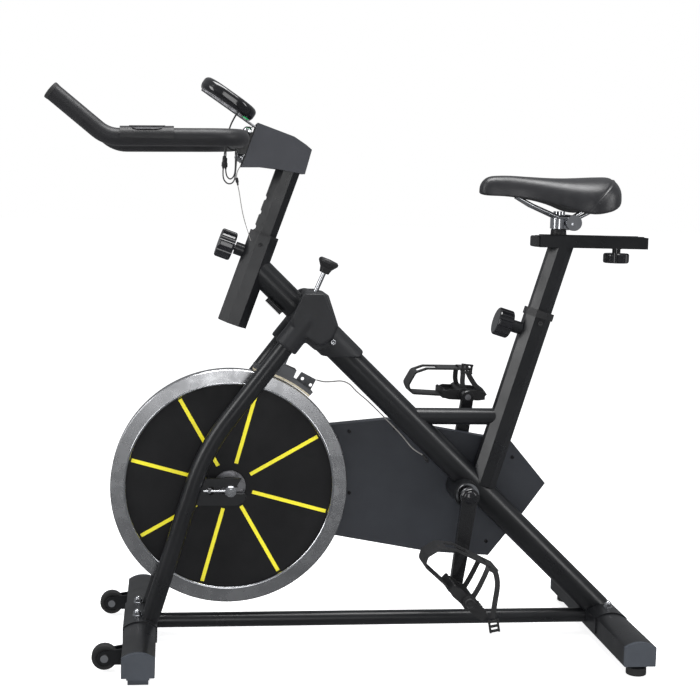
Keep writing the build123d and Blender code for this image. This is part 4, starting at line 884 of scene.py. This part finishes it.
def joint_moulding():
    """The moulded cover over the joint: sleeves round the three tubes, drawn into one skin."""
    shapes = [prism(COVER_BODY, -58, 58), prism(COVER_PANEL, -68.5, -50), prism(COVER_PANEL, 50, 68.5)]
    sleeve = [(0, 0), (30, 0), (31.5, 2), (31, 148), (29, 151), (0, 151)]
    shapes.append(lathe_points(sleeve, at(*MAIN_START) - MAIN_AXIS * 12 * MM, MAIN_AXIS, 48))
    fork = (Vector(FORK_BEND) - Vector(FORK_CROWN)).normalized()
    cheek = [(0, 0), (21.5, 0), (22.5, 6), (23.5, 70), (22, 72), (0, 72)]
    for side in (-1, 1):
        start = at(FORK_CROWN[0], side * FORK_Y, FORK_CROWN[2]) - fork * 4 * MM
        shapes.append(lathe_points(cheek, start, fork, 40))
    piece = link("joint_moulding", make_mesh("joint_moulding", *joined(shapes)), JOINT, "frame")
    voxel_mesh(piece, "union", 2.0 * MM)
    block = box_points(at(*CUT_MIDDLE), (1, 0, 0), (0, 0, 1), CUT_SIZES)
    cutter = show("joint_cutter", make_mesh("joint_cutter", *block))
    hollow = piece.modifiers.new("cut", "BOOLEAN")
    hollow.operation = "DIFFERENCE"
    hollow.object = cutter
    voxel_mesh(piece, "even", 1.7 * MM)
    soften = piece.modifiers.new("soften", "SMOOTH")
    soften.factor = 0.5
    soften.iterations = 7
    shade_smooth(settle(piece))
    bpy.data.objects.remove(cutter)
    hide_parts("joint_covers")


def joint_screws():
    """The bright screw low on each side of the joint cover."""
    profile = [(5.0, -3.0), (5.0, 0.6), (3.6, 1.2), (3.2, 0.4), (0.0, 0.3)]
    turned = [(profile, at(-34, side * 62, 583), (0, side, 0)) for side in (-1, 1)]
    lathes("joint_screws", turned, CHROME, "frame", segments=24)


LOOM_RIDGES = 14
LOOM_PITCH = 2.7


def corrugated_loom():
    """The short ribbed loom that comes out under the main tube in front of the cover."""
    start = at(-155, -14, 658)
    end = at(-127, -16, 631)
    profile = [(0.0, 0.0)]
    for ridge in range(LOOM_RIDGES):
        low = ridge * LOOM_PITCH
        profile += [(4.2, low), (5.6, low + 0.8), (5.6, low + 1.6), (4.2, low + 2.4)]
    profile.append((0.0, LOOM_RIDGES * LOOM_PITCH))
    lathes("loom", [(profile, start, end - start)], BLACK, "frame", segments=20)


joint_moulding()
joint_screws()
corrugated_loom()


# ---------------------------------------------------------------- small fasteners of the frame
def frame_screws():
    """The recessed screws in the sides of the head tube and the seat tube."""
    dish = [(4.8, -0.4), (4.8, 0.5), (4.0, 0.9), (2.2, 0.9), (1.7, 0.1), (0.0, 0.05)]
    turned = []
    for side in (-1, 1):
        turned.append((dish, at(-170.0, side * 27.0, 759.0), (0, side, 0)))
        turned.append((dish, at(366.0, side * 27.4, 619.0), (0, side, 0)))
    lathes("frame_screws", turned, BLACK, "frame", segments=20)


def seat_rail_trim():
    """The plug in the rail's front end and the two strips along its top."""
    front = (at(356.5, 0, 775.5), (1, 0, 0), (0, 0, 1), (11, 21, 41))
    boxes("rail_plug", [front], BLACK, "seat_mast", 3.5)
    blocks = []
    for side in (-1, 1):
        blocks.append((at(467, side * 17.5, 787.3), (1, 0, 0), (0, 0, 1), (196, 2.2, 8.5)))
    boxes("rail_strips", blocks, PAINT, "seat_mast", 0.9)


def post_collar():
    """The plastic collar round the foot of the saddle's post."""
    profile = [(11.2, 0.0), (15.0, 0.0), (15.4, 1.0), (14.6, 11.0), (13.4, 13.0), (11.2, 13.2)]
    lathes("post_collar", [(profile, at(401.5, 0, 787.0), (0, 0, 1))], BLACK, "seat_carriage", 40)


def knob_washer():
    """The bright washer between the slider knob and its rail."""
    profile = [(4.5, 0.0), (10.5, 0.0), (10.5, 0.8), (4.5, 0.8)]
    lathes("knob_washer", [(profile, at(517.5, 0, 763.6), (0, 0, 1))], CHROME, "seat_carriage", 32)


frame_screws()
seat_rail_trim()
post_collar()
knob_washer()


# ---------------------------------------------------------------- saddle
SADDLE_PLAN = [(244, 0), (247, 11), (256, 18), (275, 22.5), (300, 25), (330, 31), (360, 41), (388, 56),
               (415, 71), (438, 80), (456, 82), (475, 79), (492, 71), (504, 57), (511, 36), (514, 0)]
SADDLE_TOP = [(244, 893), (262, 896), (296, 898), (345, 896.5), (390, 896), (430, 897.5), (470, 900),
              (500, 900), (514, 897)]
SADDLE_EDGE = [(244, 866), (262, 862.5), (300, 861.5), (330, 858.5), (365, 853), (395, 846), (425, 836),
               (450, 832.5), (475, 836), (495, 843), (507, 853), (514, 866)]
SADDLE_FRONT = 244.0
SADDLE_REAR = 514.0
SPINE_FRONT = 273.0
SPINE_REAR = 478.0
CROWN = 2.7
SEAM_SUM = -402.0                # the seam lies where x - z has this value
SEAM_WIDTH = 1.3
SEAM_DEPTH = 1.0
WELT_HEIGHT = 0.55
WELT_WIDTH = 2.2
WELT_OFFSET = 3.4                # from the seam
STITCH_OFFSET = 5.0              # from the seam, as a change of x - z
STITCH_PITCH = 4.2
CHANNEL_DEPTH = 2.2
CHANNEL_WIDTH = 9.0
CHANNEL_FRONT = 350.0
CHANNEL_FADE = 60.0
# How far out each ring of the cover is, closer together where it turns down.
COVER_REACHES = (0.08, 0.2, 0.32, 0.44, 0.55, 0.65, 0.74, 0.81, 0.87, 0.915, 0.95, 0.975, 0.99, 1.0)
# The rings under the cover and those of the base, as (reach, height over the cover's edge).
COVER_UNDER = ((0.985, -1.6), (0.955, -2.0), (0.92, -0.6), (0.9, 3.0))
BASE_RINGS = ((0.93, -0.4), (0.90, -2.0), (0.80, -1.5), (0.72, 3.0), (0.45, 9.0), (0.2, 11.0))


def look_up(table, x):
    """A smooth value from a short table of (x, value)."""
    if x <= table[0][0]:
        return table[0][1]
    for index in range(len(table) - 1):
        (x0, v0), (x1, v1) = table[index], table[index + 1]
        if x <= x1:
            before = table[max(index - 1, 0)]
            after = table[min(index + 2, len(table) - 1)]
            slope0 = (v1 - before[1]) / max(x1 - before[0], 1e-6) * (x1 - x0)
            slope1 = (after[1] - v0) / max(after[0] - x0, 1e-6) * (x1 - x0)
            t = (x - x0) / (x1 - x0)
            return (v0 * (2 * t ** 3 - 3 * t ** 2 + 1) + slope0 * (t ** 3 - 2 * t ** 2 + t)
                    + v1 * (3 * t ** 2 - 2 * t ** 3) + slope1 * (t ** 3 - t ** 2))
    return table[-1][1]


def saddle_outline(count):
    """Points around the saddle's plan, closer together at both ends."""
    half = []
    for step in range(count + 1):
        share = step / count
        x = SADDLE_FRONT + (SADDLE_REAR - SADDLE_FRONT) * (1 - math.cos(math.pi * share)) / 2
        half.append((x, max(look_up(SADDLE_PLAN, x), 0.0)))
    half[0] = (SADDLE_FRONT, 0.0)
    half[-1] = (SADDLE_REAR, 0.0)
    return half + [(x, -y) for x, y in reversed(half[1:-1])]


def drawn_in(outline_point, reach):
    """A point of the saddle's plan drawn in: reach 0 is on the spine and 1 is on the outline."""
    x, y = outline_point
    spine = min(max(x, SPINE_FRONT), SPINE_REAR)
    return spine + (x - spine) * reach, y * reach


def saddle_surface(outline_point, reach):
    """A point on the cover: reach 0 is on the spine and 1 is on the lower edge."""
    x, y = drawn_in(outline_point, reach)
    top = look_up(SADDLE_TOP, x)
    edge = look_up(SADDLE_EDGE, x)
    height = max(1 - reach ** CROWN, 0.0) ** (1 / CROWN)
    fade = max(0.0, min(1.0, (x - CHANNEL_FRONT) / CHANNEL_FADE)) * (1 - reach)
    channel = CHANNEL_DEPTH * math.exp(-(y / CHANNEL_WIDTH) ** 2) * fade
    return x, y, edge + (top - edge) * height - channel


def under_ring(outline, reach, rise):
    """A ring under the cover, at a height over the cover's lower edge."""
    ring = []
    for place in outline:
        x, y = drawn_in(place, reach)
        ring.append((x, y, look_up(SADDLE_EDGE, x) + rise))
    return ring


def ring_piece(name, rings, lid, material):
    """A piece of the saddle made of rings, and closed across the ring whose number is lid."""
    count = len(rings[0])
    points = [at(*place) for ring in rings for place in ring]
    faces = ring_faces(len(rings), count)
    first = lid * count
    for index in range(count // 2):
        corners = [first + index, first + index + 1, first + (count - index - 1) % count,
                   first + (count - index) % count]
        corners = [c for i, c in enumerate(corners) if c not in corners[:i]]
        if len(corners) > 2:
            faces.append(tuple(corners))
    return link(name, make_mesh(name, points, faces), material, "seat")


def saddle_cover():
    """The padded cover, with a groove and a welt along the seam of its rear panel."""
    outline = saddle_outline(48)
    rings = [[saddle_surface(place, reach) for place in outline] for reach in COVER_REACHES]
    rings += [under_ring(outline, reach, rise) for reach, rise in COVER_UNDER]
    piece = ring_piece("saddle_cover", rings, 0, LEATHER)
    subdivide = piece.modifiers.new("subdivision", "SUBSURF")
    subdivide.levels = 2
    subdivide.render_levels = 2
    mesh = settle(piece)
    normals = [v.normal.copy() for v in mesh.vertices]
    for vertex, normal in zip(mesh.vertices, normals):
        x = vertex.co.x / MM + BIKE_MIDDLE
        z = vertex.co.z / MM
        off = (x - z - SEAM_SUM) / math.sqrt(2)
        groove = math.exp(-(off / SEAM_WIDTH) ** 2) * SEAM_DEPTH
        welt = WELT_HEIGHT * math.exp(-((off - WELT_OFFSET) / WELT_WIDTH) ** 2)
        vertex.co += normal * (welt - groove) * MM
    shade_smooth(mesh)
    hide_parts("saddle")


def saddle_base():
    """The moulded shell under the saddle."""
    outline = saddle_outline(40)
    rings = [under_ring(outline, reach, rise) for reach, rise in BASE_RINGS]
    piece = ring_piece("saddle_base", rings, len(rings) - 1, BLACK)
    thicken(piece, 1.6 * MM, 0.0)


def stitch_line():
    """Points along the rear panel's seam, from one side of the saddle to the other."""
    seam = []
    for place in saddle_outline(400):
        was_past = None
        for step in range(60):
            x, y, z = saddle_surface(place, 0.35 + 0.64 * step / 59)
            past = x - z - SEAM_SUM - STITCH_OFFSET > 0
            if was_past is not None and past != was_past:
                seam.append(Vector((x, y, z)))
                break
            was_past = past
    seam.sort(key=lambda p: p.y)
    return seam


def saddle_stitches():
    """Thread along the rear panel's seam, a stitch every few millimetres."""
    seam = stitch_line()
    profile = [(0.0, -1.3), (0.32, -1.1), (0.42, 0.0), (0.32, 1.1), (0.0, 1.3)]
    turned = []
    since = STITCH_PITCH
    for before, point in zip(seam, seam[1:]):
        step = (point - before).length
        since += step
        if since >= STITCH_PITCH and 0.05 < step < 6.0:
            since = 0.0
            lift = Vector((0.25, math.copysign(0.45, point.y), 0.45))
            turned.append((profile, at(*(point + lift)), (point - before).normalized()))
    lathes("saddle_stitches", turned, THREAD, "seat", segments=8)


saddle_cover()
saddle_base()
saddle_stitches()


# ---------------------------------------------------------------- floor, light and the last lines
FLOOR_GLOW = 0.84
FLOOR_REACH = 30.0
ROOM_LOW = 0.16                  # the room's light from below, and from above
ROOM_HIGH = 0.38


def floor_material():
    s = Surface("floor_paint", (0.80, 0.80, 0.805), 0.6)
    s.vary((0.78, 0.78, 0.785), scale=2.0, rough=(0.5, 0.7))
    s.shader.inputs["Emission Color"].default_value = (1, 1, 1, 1)
    s.shader.inputs["Emission Strength"].default_value = FLOOR_GLOW
    return s.material


def make_floor():
    """A wide white floor just under the bike, left out of what the chrome reflects."""
    corners = [(x * FLOOR_REACH, y * FLOOR_REACH, 0) for x, y in ((-1, -1), (1, -1), (1, 1), (-1, 1))]
    mesh = bpy.data.meshes.new("floor")
    mesh.from_pydata(corners, [], [(0, 1, 2, 3)])
    mesh.materials.append(floor_material())
    floor = show("floor", mesh)
    floor.location.z = -0.0005
    floor.visible_glossy = False


def area_light(name, place, target, size, power):
    data = bpy.data.lights.new(name, "AREA")
    data.shape = "RECTANGLE"
    data.size, data.size_y = size
    data.energy = power
    lamp = show(name, data)
    lamp.location = place
    lamp.rotation_mode = "QUATERNION"
    lamp.rotation_quaternion = (Vector(target) - Vector(place)).to_track_quat("-Z", "Y")


def make_world():
    """A white room: the camera sees it white, and it lights the bike from above more than from below."""
    world = bpy.data.worlds.new("studio")
    world.use_nodes = True
    nodes = world.node_tree.nodes
    links = world.node_tree.links
    room = nodes["Background"]
    place = nodes.new("ShaderNodeTexCoord")
    split = nodes.new("ShaderNodeSeparateXYZ")
    links.new(place.outputs["Generated"], split.inputs["Vector"])
    rise = nodes.new("ShaderNodeMapRange")
    for key, value in (("From Min", -0.2), ("From Max", 0.9), ("To Min", ROOM_LOW), ("To Max", ROOM_HIGH)):
        rise.inputs[key].default_value = value
    links.new(split.outputs["Z"], rise.inputs["Value"])
    links.new(rise.outputs["Result"], room.inputs["Strength"])
    room.inputs["Color"].default_value = (0.95, 0.97, 1.0, 1)
    backdrop = nodes.new("ShaderNodeBackground")
    backdrop.inputs["Color"].default_value = (1, 1, 1, 1)
    backdrop.inputs["Strength"].default_value = 1.0
    path = nodes.new("ShaderNodeLightPath")
    mix = nodes.new("ShaderNodeMixShader")
    links.new(path.outputs["Is Camera Ray"], mix.inputs["Fac"])
    links.new(room.outputs["Background"], mix.inputs[1])
    links.new(backdrop.outputs["Background"], mix.inputs[2])
    links.new(mix.outputs["Shader"], nodes["World Output"].inputs["Surface"])
    bpy.context.scene.world = world


def make_lights():
    """A large soft light over the bike, a tall one near the camera, and one at each end."""
    make_world()
    area_light("over", (0.1, -0.3, 3.2), (0.1, 0, 0.4), (2.2, 1.3), 85.0)
    area_light("front", (-0.1, -3.3, 0.75), (-0.05, 0, 0.6), (0.7, 1.5), 9.0)
    area_light("rear_side", (2.8, -1.6, 1.6), (0.2, 0, 0.6), (0.8, 1.8), 22.0)
    area_light("front_side", (-2.6, -0.9, 1.6), (-0.2, 0, 0.6), (1.0, 1.8), 26.0)
    bpy.context.scene.view_settings.view_transform = "Standard"


make_floor()
make_lights()
